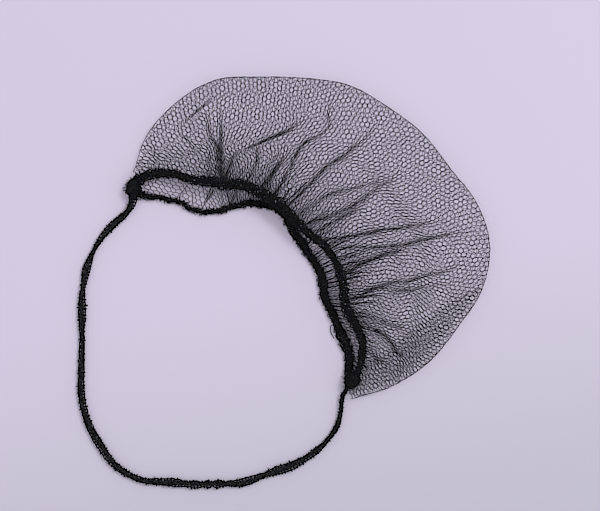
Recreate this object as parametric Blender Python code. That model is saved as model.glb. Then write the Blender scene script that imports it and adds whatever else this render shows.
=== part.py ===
"""Beard net lying loose on a flat surface, in metres, with +Z up.

The net pouch lies folded along its outer edge in two layers, gathered on to two elastic mouth bands.
The upper layer carries the fold and meets the lower layer under it. A wound knot closes each corner of
the mouth, and one elastic head loop runs from knot to knot. In plan, lengths are measured from the left corner of the mouth: along the mouth to its right
corner, and rising away from the mouth to the chin end of the pouch.
"""

import math

import bmesh
import bpy
import numpy as np
from mathutils import Matrix, Vector
from mathutils.geometry import delaunay_2d_cdt

# Pouch
MOUTH_SPAN = 0.176
POUCH_DEPTH = 0.141
CROWN_RISE = 0.0080
CROWN_BIAS = 0.8
FOLD_RADIUS = 0.0018
GATHER_HEIGHT = 0.0030
NET_WALL = 0.0012
HEM_WIDTH = 0.0024
FOLD_LIP = 0.0006
SELVEDGE = 0.0020

# Coarse net: distance between the middles of neighbouring gaps, and the strand left between two gaps
GAP_PITCH = 0.0233
GAP_STRAND = 0.0028
GAP_LEAST_SHARE = 0.16

# Elastic bands round the mouth
UPPER_BAND_WIDTH = 0.0055
UPPER_BAND_THICKNESS = 0.0042
UPPER_BAND_LIFT = 0.0080
LOWER_BAND_WIDTH = 0.0046
LOWER_BAND_THICKNESS = 0.0028
BAND_SWELL = 0.09
BAND_SWELLS = 21

# Wound knots at the corners of the mouth
KNOT_LENGTH = 0.0125
KNOT_WIDTH = 0.0080
KNOT_HEIGHT = 0.0074

# Head loop
CORD_DIAMETER = 0.0042

# Gap between neighbouring pieces
CLEARANCE = 0.0003

# Sections of the lying pouch at even steps from the left corner of the mouth to the right one.
# Along is a share of MOUTH_SPAN, rise a share of POUCH_DEPTH, lift a share of UPPER_BAND_LIFT and
# crown a share of CROWN_RISE.
SECTION_COLUMNS = (
    "upper_along", "upper_rise", "lower_along", "lower_rise", "edge_along", "edge_rise", "lift", "crown",
)
SECTIONS = (
    (-0.011, 0.028, 0.014, -0.013, -0.038, 0.049, 0.25, 0.05),
    (0.022, 0.109, 0.077, 0.031, -0.090, 0.212, 0.36, 0.15),
    (0.084, 0.167, 0.139, 0.075, -0.088, 0.407, 0.52, 0.35),
    (0.151, 0.216, 0.208, 0.102, -0.040, 0.580, 0.70, 0.60),
    (0.214, 0.275, 0.261, 0.161, 0.066, 0.716, 0.86, 0.78),
    (0.277, 0.331, 0.298, 0.238, 0.181, 0.840, 0.95, 0.88),
    (0.350, 0.363, 0.349, 0.301, 0.306, 0.941, 1.00, 0.95),
    (0.427, 0.374, 0.414, 0.333, 0.453, 0.984, 1.00, 1.00),
    (0.505, 0.368, 0.485, 0.322, 0.602, 1.000, 1.00, 1.00),
    (0.582, 0.364, 0.556, 0.306, 0.752, 0.970, 1.00, 1.00),
    (0.660, 0.358, 0.627, 0.288, 0.900, 0.936, 1.00, 0.97),
    (0.732, 0.322, 0.690, 0.248, 1.028, 0.840, 0.97, 0.90),
    (0.791, 0.259, 0.751, 0.199, 1.108, 0.681, 0.90, 0.78),
    (0.860, 0.221, 0.815, 0.159, 1.134, 0.495, 0.78, 0.60),
    (0.929, 0.174, 0.880, 0.120, 1.142, 0.307, 0.62, 0.38),
    (0.975, 0.096, 0.938, 0.068, 1.105, 0.122, 0.45, 0.16),
    (0.999, 0.006, 0.984, -0.001, 1.031, -0.039, 0.34, 0.05),
)

# Gathers: pleats that run out from the upper band. Root and tip are shares of the mouth, reach is the
# share of the way to the outer edge, height is a share of GATHER_HEIGHT and width is in metres.
GATHER_COLUMNS = ("root", "tip", "reach", "height", "width")
GATHERS = (
    (0.195, 0.190, 0.45, 0.55, 0.0040),
    (0.240, 0.165, 0.80, 0.80, 0.0050),
    (0.262, 0.345, 0.70, 1.00, 0.0055),
    (0.340, 0.352, 0.35, 0.55, 0.0040),
    (0.385, 0.390, 0.75, 0.60, 0.0050),
    (0.440, 0.450, 0.90, 1.00, 0.0055),
    (0.490, 0.500, 0.45, 0.60, 0.0040),
    (0.530, 0.532, 0.60, 0.80, 0.0045),
    (0.578, 0.636, 0.80, 0.80, 0.0050),
    (0.620, 0.655, 0.90, 1.00, 0.0055),
    (0.675, 0.657, 0.50, 0.60, 0.0040),
    (0.740, 0.712, 0.80, 1.00, 0.0055),
    (0.800, 0.885, 0.70, 0.90, 0.0050),
    (0.850, 0.812, 0.50, 0.60, 0.0040),
)

# Knots: middle and heading in plan. Along and rise are shares of MOUTH_SPAN and POUCH_DEPTH, and the
# heading is the way in which the head loop leaves, in degrees from the mouth's line.
KNOTS = {
    "corner_knot_left": {"along": 0.001, "rise": -0.004, "heading": -47.5},
    "corner_knot_right": {"along": 0.990, "rise": 0.025, "heading": -79.5},
}

# Head loop's route as it lies between the two knots, in metres from the left corner of the mouth,
# chosen by hand
LOOP_ROUTE = (
    (0.0068, -0.0115, 0.0030),
    (0.0066, -0.0170, 0.0024),
    (0.0058, -0.0240, 0.0022),
    (0.0057, -0.0325, 0.0022),
    (0.0072, -0.0422, 0.0022),
    (0.0103, -0.0515, 0.0022),
    (0.0150, -0.0601, 0.0022),
    (0.0205, -0.0682, 0.0022),
    (0.0271, -0.0755, 0.0022),
    (0.0336, -0.0828, 0.0022),
    (0.0403, -0.0899, 0.0022),
    (0.0467, -0.0974, 0.0022),
    (0.0532, -0.1047, 0.0022),
    (0.0598, -0.1119, 0.0022),
    (0.0675, -0.1179, 0.0022),
    (0.0760, -0.1228, 0.0022),
    (0.0852, -0.1262, 0.0022),
    (0.0947, -0.1288, 0.0022),
    (0.1043, -0.1302, 0.0022),
    (0.1140, -0.1287, 0.0022),
    (0.1230, -0.1252, 0.0022),
    (0.1307, -0.1191, 0.0022),
    (0.1383, -0.1130, 0.0022),
    (0.1462, -0.1072, 0.0022),
    (0.1533, -0.1004, 0.0022),
    (0.1603, -0.0936, 0.0022),
    (0.1671, -0.0865, 0.0022),
    (0.1719, -0.0780, 0.0022),
    (0.1764, -0.0693, 0.0022),
    (0.1813, -0.0608, 0.0022),
    (0.1850, -0.0517, 0.0022),
    (0.1871, -0.0422, 0.0022),
    (0.1877, -0.0324, 0.0022),
    (0.1862, -0.0227, 0.0022),
    (0.1818, -0.0148, 0.0025),
    (0.1770, -0.0082, 0.0031),
)
LOOP_POINTS = 42

# Steps in which curved shapes are made
STATIONS = 72
BAND_SIDES = 8
FOLD_STEPS = 4
OUTLINE_STEP = 0.0085
KNOT_SEGMENTS = 16
KNOT_RINGS = 10

NET_BLACK = (0.016, 0.016, 0.019)
BAND_BLACK = (0.010, 0.010, 0.012)
LOOP_BLACK = (0.012, 0.012, 0.014)


def clear_scene():
    for thing in list(bpy.data.objects):
        bpy.data.objects.remove(thing, do_unlink=True)


def make_material(name, colour, roughness):
    material = bpy.data.materials.new(name)
    material.use_nodes = True
    shader = material.node_tree.nodes["Principled BSDF"]
    shader.inputs["Base Color"].default_value = (*colour, 1.0)
    shader.inputs["Roughness"].default_value = roughness
    shader.inputs["Metallic"].default_value = 0.0
    return material


def add_object(name, shape, material):
    """Puts a bmesh into the scene as a named object with its own material."""
    mesh = bpy.data.meshes.new(name)
    shape.to_mesh(mesh)
    shape.free()
    mesh.materials.append(material)
    mesh.shade_smooth()
    mesh.set_sharp_from_angle(angle=math.radians(50))
    thing = bpy.data.objects.new(name, mesh)
    bpy.context.collection.objects.link(thing)
    return thing


def read_rows(rows, share):
    """Reads a table of evenly spaced rows at a share of its length, on a smooth curve through them."""
    table = np.array(rows)
    place = min(max(share, 0.0), 1.0) * (len(table) - 1)
    first = min(int(place), len(table) - 2)
    part = place - first
    start, end = table[first], table[first + 1]
    before = table[first - 1] if first > 0 else 2 * start - end
    after = table[first + 2] if first + 2 < len(table) else 2 * end - start
    bend = 2 * before - 5 * start + 4 * end - after
    twist = 3 * (start - end) + after - before
    return start + 0.5 * part * (end - before + part * (bend + part * twist))


def read_section(share):
    """Real sizes of the lying pouch at a share of the mouth: three plan points, a lift and a crown."""
    row = dict(zip(SECTION_COLUMNS, read_rows(SECTIONS, share)))
    plan = {
        line: np.array((row[line + "_along"] * MOUTH_SPAN, row[line + "_rise"] * POUCH_DEPTH))
        for line in ("upper", "lower", "edge")
    }
    lift = row["lift"] * UPPER_BAND_LIFT
    crown = max(row["crown"], 0.0) * CROWN_RISE
    return plan["upper"], plan["lower"], plan["edge"], lift, crown


def band_point(layer, share):
    """Middle of the upper or the lower elastic band."""
    upper, lower, edge, lift, crown = read_section(share)
    if layer == "upper":
        return Vector((*upper, lift + UPPER_BAND_THICKNESS / 2))
    return Vector((*lower, LOWER_BAND_THICKNESS / 2))


def hem_point(layer, share):
    """Where the net's hem starts, a clearance outside the band's side."""
    step = 0.004
    ahead = band_point(layer, min(share + step, 1.0))
    back = band_point(layer, max(share - step, 0.0))
    way = (ahead - back).xy.normalized()
    width = UPPER_BAND_WIDTH if layer == "upper" else LOWER_BAND_WIDTH
    offset = width * (1 + BAND_SWELL) / 2 + CLEARANCE
    middle = band_point(layer, share)
    height = middle.z if layer == "upper" else NET_WALL / 2
    return Vector((middle.x - way.y * offset, middle.y + way.x * offset, height))


def layer_depth(layer, share):
    """Distance in plan from the hem to the outer edge."""
    edge = read_section(share)[2]
    return (Vector(edge) - hem_point(layer, share).xy).length


def lower_start(share):
    """Reach at which the lower layer starts, a clearance square off the lip of the upper layer's fold."""
    step = 0.004
    edge = Vector(read_section(share)[2])
    along = Vector(read_section(min(share + step, 1.0))[2]) - Vector(read_section(max(share - step, 0.0))[2])
    inward = (hem_point("lower", share).xy - edge).normalized()
    square = abs(inward.cross(along.normalized()))
    return LIP_REACH + CLEARANCE / max(square, 0.3)


def strip_length(line):
    """Length in plan of one line of the sections, from corner to corner."""
    points = [read_section(step / 400)[line] for step in range(401)]
    return sum(float(np.linalg.norm(b - a)) for a, b in zip(points, points[1:]))


EDGE_LENGTH = strip_length(2)
BAND_LENGTH = strip_length(0)
FOLD_REACH = math.pi / 2 * FOLD_RADIUS
LIP_REACH = FOLD_REACH + FOLD_LIP


def gather_height(share, out):
    """Height that the pleats add to the upper layer, out from the band by a share of its depth."""
    length = BAND_LENGTH + (EDGE_LENGTH - BAND_LENGTH) * out
    total = 0.0
    for values in GATHERS:
        gather = dict(zip(GATHER_COLUMNS, values))
        if out >= gather["reach"]:
            continue
        along = out / gather["reach"]
        middle = gather["root"] + (gather["tip"] - gather["root"]) * along
        away = (share - middle) * length / gather["width"]
        total += gather["height"] * math.exp(-away * away) * math.sin(math.pi * (0.12 + 0.88 * along))
    return GATHER_HEIGHT * total


def net_point(share, reach):
    """Place of a point of the net sheet: reach is its distance from the middle of the outer fold,
    above zero on the upper layer and below zero on the lower one."""
    layer = "upper" if reach > 0 else "lower"
    edge = Vector(read_section(share)[2])
    hem = hem_point(layer, share)
    inward = hem.xy - edge
    depth = inward.length
    inward.normalize()
    fold_middle = FOLD_RADIUS + NET_WALL / 2
    if abs(reach) <= FOLD_REACH:
        turn = reach / FOLD_RADIUS
        place = edge + inward * FOLD_RADIUS * (1 - math.cos(turn))
        return Vector((*place, fold_middle + FOLD_RADIUS * math.sin(turn)))
    near = (abs(reach) - FOLD_REACH) / max(depth - FOLD_REACH, FOLD_RADIUS)
    place = edge + inward * (FOLD_RADIUS + (depth - FOLD_RADIUS) * near)
    if layer == "lower":
        return Vector((*place, NET_WALL / 2))
    crown = read_section(share)[4]
    straight = fold_middle + FOLD_RADIUS + (hem.z - fold_middle - FOLD_RADIUS) * near
    bulge = crown * math.sin(math.pi * near ** CROWN_BIAS)
    return Vector((*place, straight + bulge + gather_height(share, 1 - near)))


def gap_outlines(layer):
    """Six-sided gaps on one layer of the flat sheet, as (length along the edge, reach) points."""
    side = 1 if layer == "upper" else -1
    row_step = GAP_PITCH * math.sqrt(3) / 2
    corner = (GAP_PITCH - GAP_STRAND) / math.sqrt(3)
    gaps = []
    row = 0
    middle = LIP_REACH + GAP_PITCH / 2
    while middle - GAP_PITCH / 2 < POUCH_DEPTH:
        for column in range(int(EDGE_LENGTH / GAP_PITCH) + 1):
            along = (column + 0.5 * (row % 2) + 0.25) * GAP_PITCH
            outline = clip_gap(layer, along, middle, corner)
            if outline:
                gaps.append(turn_left([(x, side * reach) for x, reach in outline]))
        row += 1
        middle += row_step
    return gaps


def clip_gap(layer, along, middle, corner):
    """One gap, cut back where the hem, the fold or the ends of the sheet would be too narrow."""
    share = min(max(along / EDGE_LENGTH, 0.0), 1.0)
    step = GAP_PITCH / 3
    here = layer_depth(layer, share)
    before = layer_depth(layer, max(along - step, 0.0) / EDGE_LENGTH)
    after = layer_depth(layer, min(along + step, EDGE_LENGTH) / EDGE_LENGTH)
    slope = (after - before) / (2 * step)
    flat = bmesh.new()
    place = Matrix.Translation((along, middle, 0))
    bmesh.ops.create_circle(flat, cap_ends=True, segments=6, radius=corner, matrix=place)
    hem_side = Vector((-slope, 1.0, 0.0)).normalized()
    limits = (
        (Vector((along, here - HEM_WIDTH, 0)), hem_side),
        (Vector((0, LIP_REACH if layer == "upper" else LIP_REACH + SELVEDGE, 0)), Vector((0, -1, 0))),
        (Vector((HEM_WIDTH, 0, 0)), Vector((-1, 0, 0))),
        (Vector((EDGE_LENGTH - HEM_WIDTH, 0, 0)), Vector((1, 0, 0))),
    )
    for point, normal in limits:
        everything = flat.verts[:] + flat.edges[:] + flat.faces[:]
        bmesh.ops.bisect_plane(flat, geom=everything, plane_co=point, plane_no=normal, clear_outer=True)
    outline = []
    whole = 1.5 * math.sqrt(3) * corner * corner
    flat.faces.ensure_lookup_table()
    if flat.faces and flat.faces[0].calc_area() > GAP_LEAST_SHARE * whole:
        outline = [tuple(loop.vert.co.xy) for loop in flat.faces[0].loops]
    flat.free()
    return halve_sides(outline, corner)


def turn_left(outline):
    """The same outline, running anticlockwise."""
    area = sum(a[0] * b[1] - b[0] * a[1] for a, b in zip(outline, outline[1:] + outline[:1]))
    return outline if area > 0 else outline[::-1]


def halve_sides(outline, corner):
    """Adds a point to the middle of each long side, so that the strands follow the pouch's curve."""
    points = []
    for start, end in zip(outline, outline[1:] + outline[:1]):
        points.append(start)
        if math.dist(start, end) > 0.6 * corner:
            points.append(((start[0] + end[0]) / 2, (start[1] + end[1]) / 2))
    return points


def sheet_line(reach_at):
    """Points of the flat sheet at even steps along the edge, at the reach that a function gives."""
    steps = round(EDGE_LENGTH / OUTLINE_STEP)
    return [(EDGE_LENGTH * step / steps, reach_at(step / steps)) for step in range(steps + 1)]


def layer_outline(layer):
    """Boundary of one layer on the flat sheet. The upper layer ends where the fold comes round under it,
    and the lower layer starts a clearance further in."""
    if layer == "upper":
        hem = sheet_line(lambda share: layer_depth("upper", share))
        return hem[::-1] + sheet_line(lambda share: -LIP_REACH)
    hem = sheet_line(lambda share: -layer_depth("lower", share))
    return sheet_line(lambda share: -lower_start(share))[::-1] + hem


def fold_lines(layer):
    """Lines along the outer fold, on which the upper layer turns round and under."""
    turns = range(FOLD_STEPS + 1) if layer == "upper" else ()
    return [sheet_line(lambda share, turn=turn: FOLD_REACH * (2 * turn / FOLD_STEPS - 1)) for turn in turns]


def build_net_layer(name, layer, material):
    """One layer of the pierced sheet, filled flat round its gaps, then laid in place and given its wall."""
    points = []
    edges = []
    faces = []
    for ring in [layer_outline(layer)] + gap_outlines(layer):
        first = len(points)
        points.extend(Vector(point) for point in ring)
        faces.append(list(range(first, first + len(ring))))
    for line in fold_lines(layer):
        first = len(points)
        points.extend(Vector(point) for point in line)
        edges.extend((first + step, first + step + 1) for step in range(len(line) - 1))
    verts, _, tris, _, _, inside = delaunay_2d_cdt(points, edges, faces, 1, 1e-7)
    sheet = bmesh.new()
    corners = [sheet.verts.new(net_point(x / EDGE_LENGTH, reach)) for x, reach in verts]
    for tri, owners in zip(tris, inside):
        if list(owners) == [0]:
            sheet.faces.new([corners[index] for index in tri])
    bmesh.ops.delete(sheet, geom=[v for v in sheet.verts if not v.link_faces], context="VERTS")
    bmesh.ops.remove_doubles(sheet, verts=sheet.verts[:], dist=0.00005)
    bmesh.ops.recalc_face_normals(sheet, faces=sheet.faces[:])
    net = add_object(name, sheet, material)
    wall = net.modifiers.new("Wall", "SOLIDIFY")
    wall.thickness = NET_WALL
    wall.offset = 0.0
    return net


def ring_edges(shape, ring):
    """The edges that join the points of one ring to each other."""
    return [edge for edge in shape.edges if edge.verts[0] in ring and edge.verts[1] in ring]


def knot_middle(name):
    return Vector((KNOTS[name]["along"] * MOUTH_SPAN, KNOTS[name]["rise"] * POUCH_DEPTH, KNOT_HEIGHT / 2))


def knot_exit(name):
    """Where the head loop starts, a clearance off the end of its knot."""
    heading = math.radians(KNOTS[name]["heading"])
    way = Vector((math.cos(heading), math.sin(heading), 0))
    return knot_middle(name) + way * (KNOT_LENGTH / 2 + CLEARANCE)


def band_route(layer):
    """Points along a band, which starts and ends in the middles of the two knots."""
    inner = [band_point(layer, station / STATIONS) for station in range(1, STATIONS)]
    return [knot_middle("corner_knot_left")] + inner + [knot_middle("corner_knot_right")]


def build_band(name, layer, width, thickness, material):
    """One elastic band, swept along its side of the mouth, with the soft swells of its gathers."""
    band = bmesh.new()
    ring = bmesh.ops.create_circle(band, cap_ends=False, segments=BAND_SIDES, radius=0.5)["verts"]
    rings = [ring]
    for station in range(STATIONS):
        made = bmesh.ops.extrude_edge_only(band, edges=ring_edges(band, rings[-1]))["geom"]
        rings.append([item for item in made if isinstance(item, bmesh.types.BMVert)])
    route = band_route(layer)
    for station, verts in enumerate(rings):
        ahead = route[min(station + 1, STATIONS)]
        back = route[max(station - 1, 0)]
        way = (ahead - back).normalized()
        side = Vector((-way.y, way.x, 0)).normalized()
        swell = 1 + BAND_SWELL * math.sin(2 * math.pi * BAND_SWELLS * station / STATIONS)
        for vert in verts:
            place = vert.co.copy()
            vert.co = route[station] + side * place.x * width * swell + Vector((0, 0, place.y * thickness))
    bmesh.ops.holes_fill(band, edges=band.edges[:], sides=BAND_SIDES)
    bmesh.ops.recalc_face_normals(band, faces=band.faces[:])
    return add_object(name, band, material)


def build_knot(name, material, grow=0.0):
    """A wound knot: a fat barrel lying on the surface. Grow makes the cutter that keeps others clear."""
    knot = bmesh.new()
    bmesh.ops.create_uvsphere(knot, u_segments=KNOT_SEGMENTS, v_segments=KNOT_RINGS, radius=0.5)
    size = Vector((KNOT_WIDTH + 2 * grow, KNOT_HEIGHT + 2 * grow, KNOT_LENGTH + 2 * grow))
    bmesh.ops.scale(knot, vec=size, verts=knot.verts)
    lay_down = Matrix.Rotation(math.pi / 2, 4, "X")
    turn = Matrix.Rotation(math.radians(KNOTS[name]["heading"]) - math.pi / 2, 4, "Z")
    place = Matrix.Translation(knot_middle(name)) @ turn @ lay_down
    bmesh.ops.transform(knot, matrix=place, verts=knot.verts)
    return add_object(name if grow == 0 else name + "_clearance", knot, material)


def cut_clear(thing, cutter):
    cutter.hide_render = True
    cutter.display_type = "WIRE"
    cut = thing.modifiers.new("Clear of " + cutter.name, "BOOLEAN")
    cut.operation = "DIFFERENCE"
    cut.solver = "EXACT"
    cut.object = cutter


def build_head_loop(material):
    """The free elastic loop, a plain tube on a smooth curve through its route."""
    curve = bpy.data.curves.new("head_loop", "CURVE")
    curve.dimensions = "3D"
    curve.bevel_depth = CORD_DIAMETER / 2
    curve.bevel_resolution = 2
    curve.use_fill_caps = True
    spline = curve.splines.new("POLY")
    spline.points.add(LOOP_POINTS - 1)
    route = [knot_exit("corner_knot_left"), *LOOP_ROUTE, knot_exit("corner_knot_right")]
    for index, point in enumerate(spline.points):
        point.co = (*read_rows(route, index / (LOOP_POINTS - 1)), 1.0)
    curve.materials.append(material)
    loop = bpy.data.objects.new("head_loop", curve)
    bpy.context.collection.objects.link(loop)
    return loop


def centre_on_base(things, base_things):
    """Parents everything to one empty, which sets the base's middle at the origin of the part."""
    bpy.context.view_layer.update()
    graph = bpy.context.evaluated_depsgraph_get()
    corners = []
    for thing in base_things:
        shape = thing.evaluated_get(graph).to_mesh()
        corners.extend(thing.matrix_world @ vert.co for vert in shape.vertices)
    low = [min(corner[axis] for corner in corners) for axis in range(3)]
    high = [max(corner[axis] for corner in corners) for axis in range(3)]
    base = bpy.data.objects.new("surface_middle", None)
    base.location = (-(low[0] + high[0]) / 2, -(low[1] + high[1]) / 2, -low[2])
    bpy.context.collection.objects.link(base)
    for thing in things:
        thing.parent = base
    bpy.context.view_layer.update()


def build():
    clear_scene()
    net = make_material("Net thread", NET_BLACK, 0.55)
    bands = {
        "rim_band_upper": ("upper", UPPER_BAND_WIDTH, UPPER_BAND_THICKNESS),
        "rim_band_lower": ("lower", LOWER_BAND_WIDTH, LOWER_BAND_THICKNESS),
    }
    pieces = [build_net_layer("net_" + layer + "_layer", layer, net) for layer in ("upper", "lower")]
    for name, (layer, width, thickness) in bands.items():
        band = build_band(name, layer, width, thickness, make_material(name + " yarn", BAND_BLACK, 0.8))
        pieces.append(band)
    knots = []
    cutters = []
    for name in KNOTS:
        yarn = make_material(name + " yarn", BAND_BLACK, 0.8)
        knots.append(build_knot(name, yarn))
        cutters.append(build_knot(name, yarn, CLEARANCE))
    for piece in pieces:
        for cutter in cutters:
            cut_clear(piece, cutter)
    loop = build_head_loop(make_material("Loop elastic", LOOP_BLACK, 0.75))
    centre_on_base(pieces + knots + cutters + [loop], pieces + knots)


build()
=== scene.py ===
import math

import bmesh
import bpy
import numpy as np
from bpy.props import FloatProperty, FloatVectorProperty, IntProperty, PointerProperty
from bpy.types import Operator, Panel, PropertyGroup
from mathutils import Matrix, Vector


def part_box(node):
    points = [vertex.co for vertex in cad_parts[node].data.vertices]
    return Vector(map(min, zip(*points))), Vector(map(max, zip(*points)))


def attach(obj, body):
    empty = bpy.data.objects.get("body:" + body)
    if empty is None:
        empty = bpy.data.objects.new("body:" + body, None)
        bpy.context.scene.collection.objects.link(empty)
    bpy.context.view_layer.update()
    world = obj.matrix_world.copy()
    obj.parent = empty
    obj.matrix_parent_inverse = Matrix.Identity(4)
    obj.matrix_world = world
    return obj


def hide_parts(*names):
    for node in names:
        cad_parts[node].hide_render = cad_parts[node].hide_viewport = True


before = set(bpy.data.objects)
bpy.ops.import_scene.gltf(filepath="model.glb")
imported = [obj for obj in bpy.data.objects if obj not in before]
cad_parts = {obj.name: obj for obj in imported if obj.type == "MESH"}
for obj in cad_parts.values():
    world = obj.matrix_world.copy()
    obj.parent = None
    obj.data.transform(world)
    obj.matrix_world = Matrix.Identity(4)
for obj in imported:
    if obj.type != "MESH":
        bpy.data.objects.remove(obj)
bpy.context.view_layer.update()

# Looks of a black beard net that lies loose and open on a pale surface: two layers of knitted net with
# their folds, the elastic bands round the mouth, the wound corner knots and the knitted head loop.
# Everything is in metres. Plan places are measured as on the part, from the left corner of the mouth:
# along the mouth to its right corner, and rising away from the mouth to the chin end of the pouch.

bl_info = {
    "name": "Beard net",
    "version": (1, 0, 0),
    "blender": (4, 5, 0),
    "location": "View3D > Sidebar > Beard net",
    "description": "Builds a knitted beard net as it lies on a pale surface",
    "category": "Object",
}

# Pouch, as the part has it
MOUTH_SPAN = 0.176
POUCH_DEPTH = 0.141
CROWN_RISE = 0.0080
CROWN_BIAS = 0.8
FOLD_RADIUS = 0.0018
UPPER_BAND_LIFT = 0.0080

# Sections of the lying pouch at even steps from the left corner of the mouth to the right one.
# Along is a share of MOUTH_SPAN, rise a share of POUCH_DEPTH, lift a share of UPPER_BAND_LIFT and
# crown a share of CROWN_RISE.
SECTION_COLUMNS = (
    "upper_along", "upper_rise", "lower_along", "lower_rise", "edge_along", "edge_rise", "lift", "crown",
)
SECTIONS = (
    (-0.011, 0.028, 0.014, -0.013, -0.038, 0.049, 0.25, 0.05),
    (0.022, 0.109, 0.077, 0.031, -0.090, 0.212, 0.36, 0.15),
    (0.084, 0.167, 0.139, 0.075, -0.088, 0.407, 0.52, 0.35),
    (0.151, 0.216, 0.208, 0.102, -0.040, 0.580, 0.70, 0.60),
    (0.214, 0.275, 0.261, 0.161, 0.066, 0.716, 0.86, 0.78),
    (0.277, 0.331, 0.298, 0.238, 0.181, 0.840, 0.95, 0.88),
    (0.350, 0.363, 0.349, 0.301, 0.306, 0.941, 1.00, 0.95),
    (0.427, 0.374, 0.414, 0.333, 0.453, 0.984, 1.00, 1.00),
    (0.505, 0.368, 0.485, 0.322, 0.602, 1.000, 1.00, 1.00),
    (0.582, 0.364, 0.556, 0.306, 0.752, 0.970, 1.00, 1.00),
    (0.660, 0.358, 0.627, 0.288, 0.900, 0.936, 1.00, 0.97),
    (0.732, 0.322, 0.690, 0.248, 1.028, 0.840, 0.97, 0.90),
    (0.791, 0.259, 0.751, 0.199, 1.108, 0.681, 0.90, 0.78),
    (0.860, 0.221, 0.815, 0.159, 1.134, 0.495, 0.78, 0.60),
    (0.929, 0.174, 0.880, 0.120, 1.142, 0.307, 0.62, 0.38),
    (0.975, 0.096, 0.938, 0.068, 1.105, 0.122, 0.45, 0.16),
    (0.999, 0.006, 0.984, -0.001, 1.031, -0.039, 0.34, 0.05),
)

# Folds of the net: how strongly a fold draws up net at its start, middle and end, how wide it stands as a
# share of the fold width, and its line as (share of the mouth, share of the way from the band to the outer
# fold) points. The lower layer lies in the same folds, only softer, and has some creases of its own.
FOLDS = (
    ((4.50, 4.50, 4.50), 1.1, ((0.062, 0.16), (0.069, 0.44), (0.074, 0.75))),
    ((4.50, 4.50, 0.30), 1.3, ((0.163, 0.26), (0.138, 0.49), (0.106, 0.70))),
    ((2.70, 4.50, 3.01), 0.8, ((0.103, 0.58), (0.149, 0.70), (0.205, 0.86))),
    ((1.60, 1.60, 4.50), 2.2, ((0.206, 0.02), (0.202, 0.11), (0.194, 0.40))),
    ((0.60, 3.60, 4.50), 1.8, ((0.229, 0.02), (0.211, 0.30), (0.189, 0.49), (0.165, 0.78))),
    ((1.50, 2.80, 0.20), 1.6, ((0.241, 0.02), (0.218, 0.35), (0.204, 0.59), (0.198, 0.85))),
    ((3.31, 0.80, 1.55), 1.4,
     ((0.250, 0.02), (0.253, 0.27), (0.285, 0.36), (0.315, 0.46), (0.333, 0.52), (0.352, 0.68))),
    ((1.10, 0.92, 0.49), 1.4, ((0.312, 0.02), (0.310, 0.19), (0.285, 0.42))),
    ((0.00, 0.20, 0.00), 1.4, ((0.334, 0.02), (0.339, 0.25), (0.350, 0.50))),
    ((1.03, 0.93, 0.00), 1.3, ((0.352, 0.02), (0.354, 0.24), (0.358, 0.42))),
    ((0.17, 0.43, 0.58), 1.0, (
        (0.385, 0.02), (0.385, 0.24), (0.372, 0.34), (0.374, 0.50), (0.386, 0.55), (0.391, 0.65),
        (0.379, 0.71), (0.350, 0.98),
    )),
    ((0.24, 0.65, 1.60), 1.2,
     ((0.440, 0.02), (0.438, 0.25), (0.436, 0.39), (0.444, 0.51), (0.446, 0.64), (0.450, 0.92))),
    ((0.67, 0.62, 1.68), 2.0, ((0.473, 0.02), (0.482, 0.27), (0.511, 0.46), (0.526, 0.66))),
    ((1.14, 0.88, 0.22), 1.6, ((0.509, 0.02), (0.525, 0.18), (0.534, 0.35), (0.531, 0.54), (0.529, 0.82))),
    ((0.21, 1.06, 0.20), 1.4, ((0.545, 0.02), (0.540, 0.23), (0.546, 0.42))),
    ((0.74, 0.94, 1.40), 1.2, ((0.568, 0.02), (0.593, 0.18), (0.604, 0.34), (0.618, 0.48), (0.636, 0.84))),
    ((0.31, 1.17, 4.50), 1.2,
     ((0.600, 0.02), (0.639, 0.27), (0.649, 0.43), (0.651, 0.56), (0.656, 0.72), (0.655, 0.92))),
    ((1.46, 0.85, 3.45), 1.6, ((0.675, 0.02), (0.662, 0.18), (0.659, 0.28), (0.657, 0.50))),
    ((0.17, 0.48, 2.20), 1.4,
     ((0.761, 0.02), (0.726, 0.18), (0.721, 0.32), (0.720, 0.49), (0.713, 0.63), (0.710, 0.82))),
    ((0.05, 0.25, 1.23), 1.5, ((0.722, 0.02), (0.727, 0.25), (0.740, 0.40), (0.735, 0.63), (0.733, 0.80))),
    ((0.14, 0.24, 0.52), 1.6, ((0.788, 0.02), (0.811, 0.26), (0.826, 0.55))),
    ((0.13, 0.54, 0.41), 1.2, ((0.770, 0.02), (0.824, 0.09), (0.844, 0.30), (0.873, 0.48), (0.890, 0.72))),
    ((0.20, 0.24, 0.48), 1.8, ((0.890, 0.02), (0.905, 0.30), (0.910, 0.55))),
    ((3.75, 1.56, 0.51), 2.6, ((0.236, 0.02), (0.230, 0.12), (0.222, 0.34))),
    ((2.60, 1.60, 1.35), 2.4, ((0.262, 0.02), (0.262, 0.12), (0.272, 0.26))),
    ((0.78, 1.20, 0.20), 2.0, ((0.284, 0.02), (0.288, 0.12), (0.296, 0.28))),
)
# Bunches, in which the net lies closer over a broad place: how much more net lies there at the bunch's
# start, middle and end, its half width in plan, and its line as for a fold
BUNCHES = (
    ((0.75, 0.65, 0.15), 0.0085, ((0.246, 0.00), (0.222, 0.25), (0.200, 0.60))),
    ((0.30, 0.15, 0.00), 0.0110, ((0.300, 0.00), (0.304, 0.15), (0.312, 0.35))),
    ((0.00, 0.12, 0.08), 0.0140, ((0.110, 0.00), (0.105, 0.30), (0.095, 0.60))),
)
LOWER_CREASES = (
    ((3.00, 3.00, 1.60), 1.0, ((0.110, -0.40), (0.150, -0.10), (0.172, 0.15))),
    ((2.40, 2.40, 1.20), 1.0, ((0.180, -0.50), (0.226, -0.10), (0.248, 0.15))),
    ((0.80, 0.80, 0.80), 1.3, ((0.290, -0.40), (0.296, 0.00), (0.302, 0.15))),
)

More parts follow.
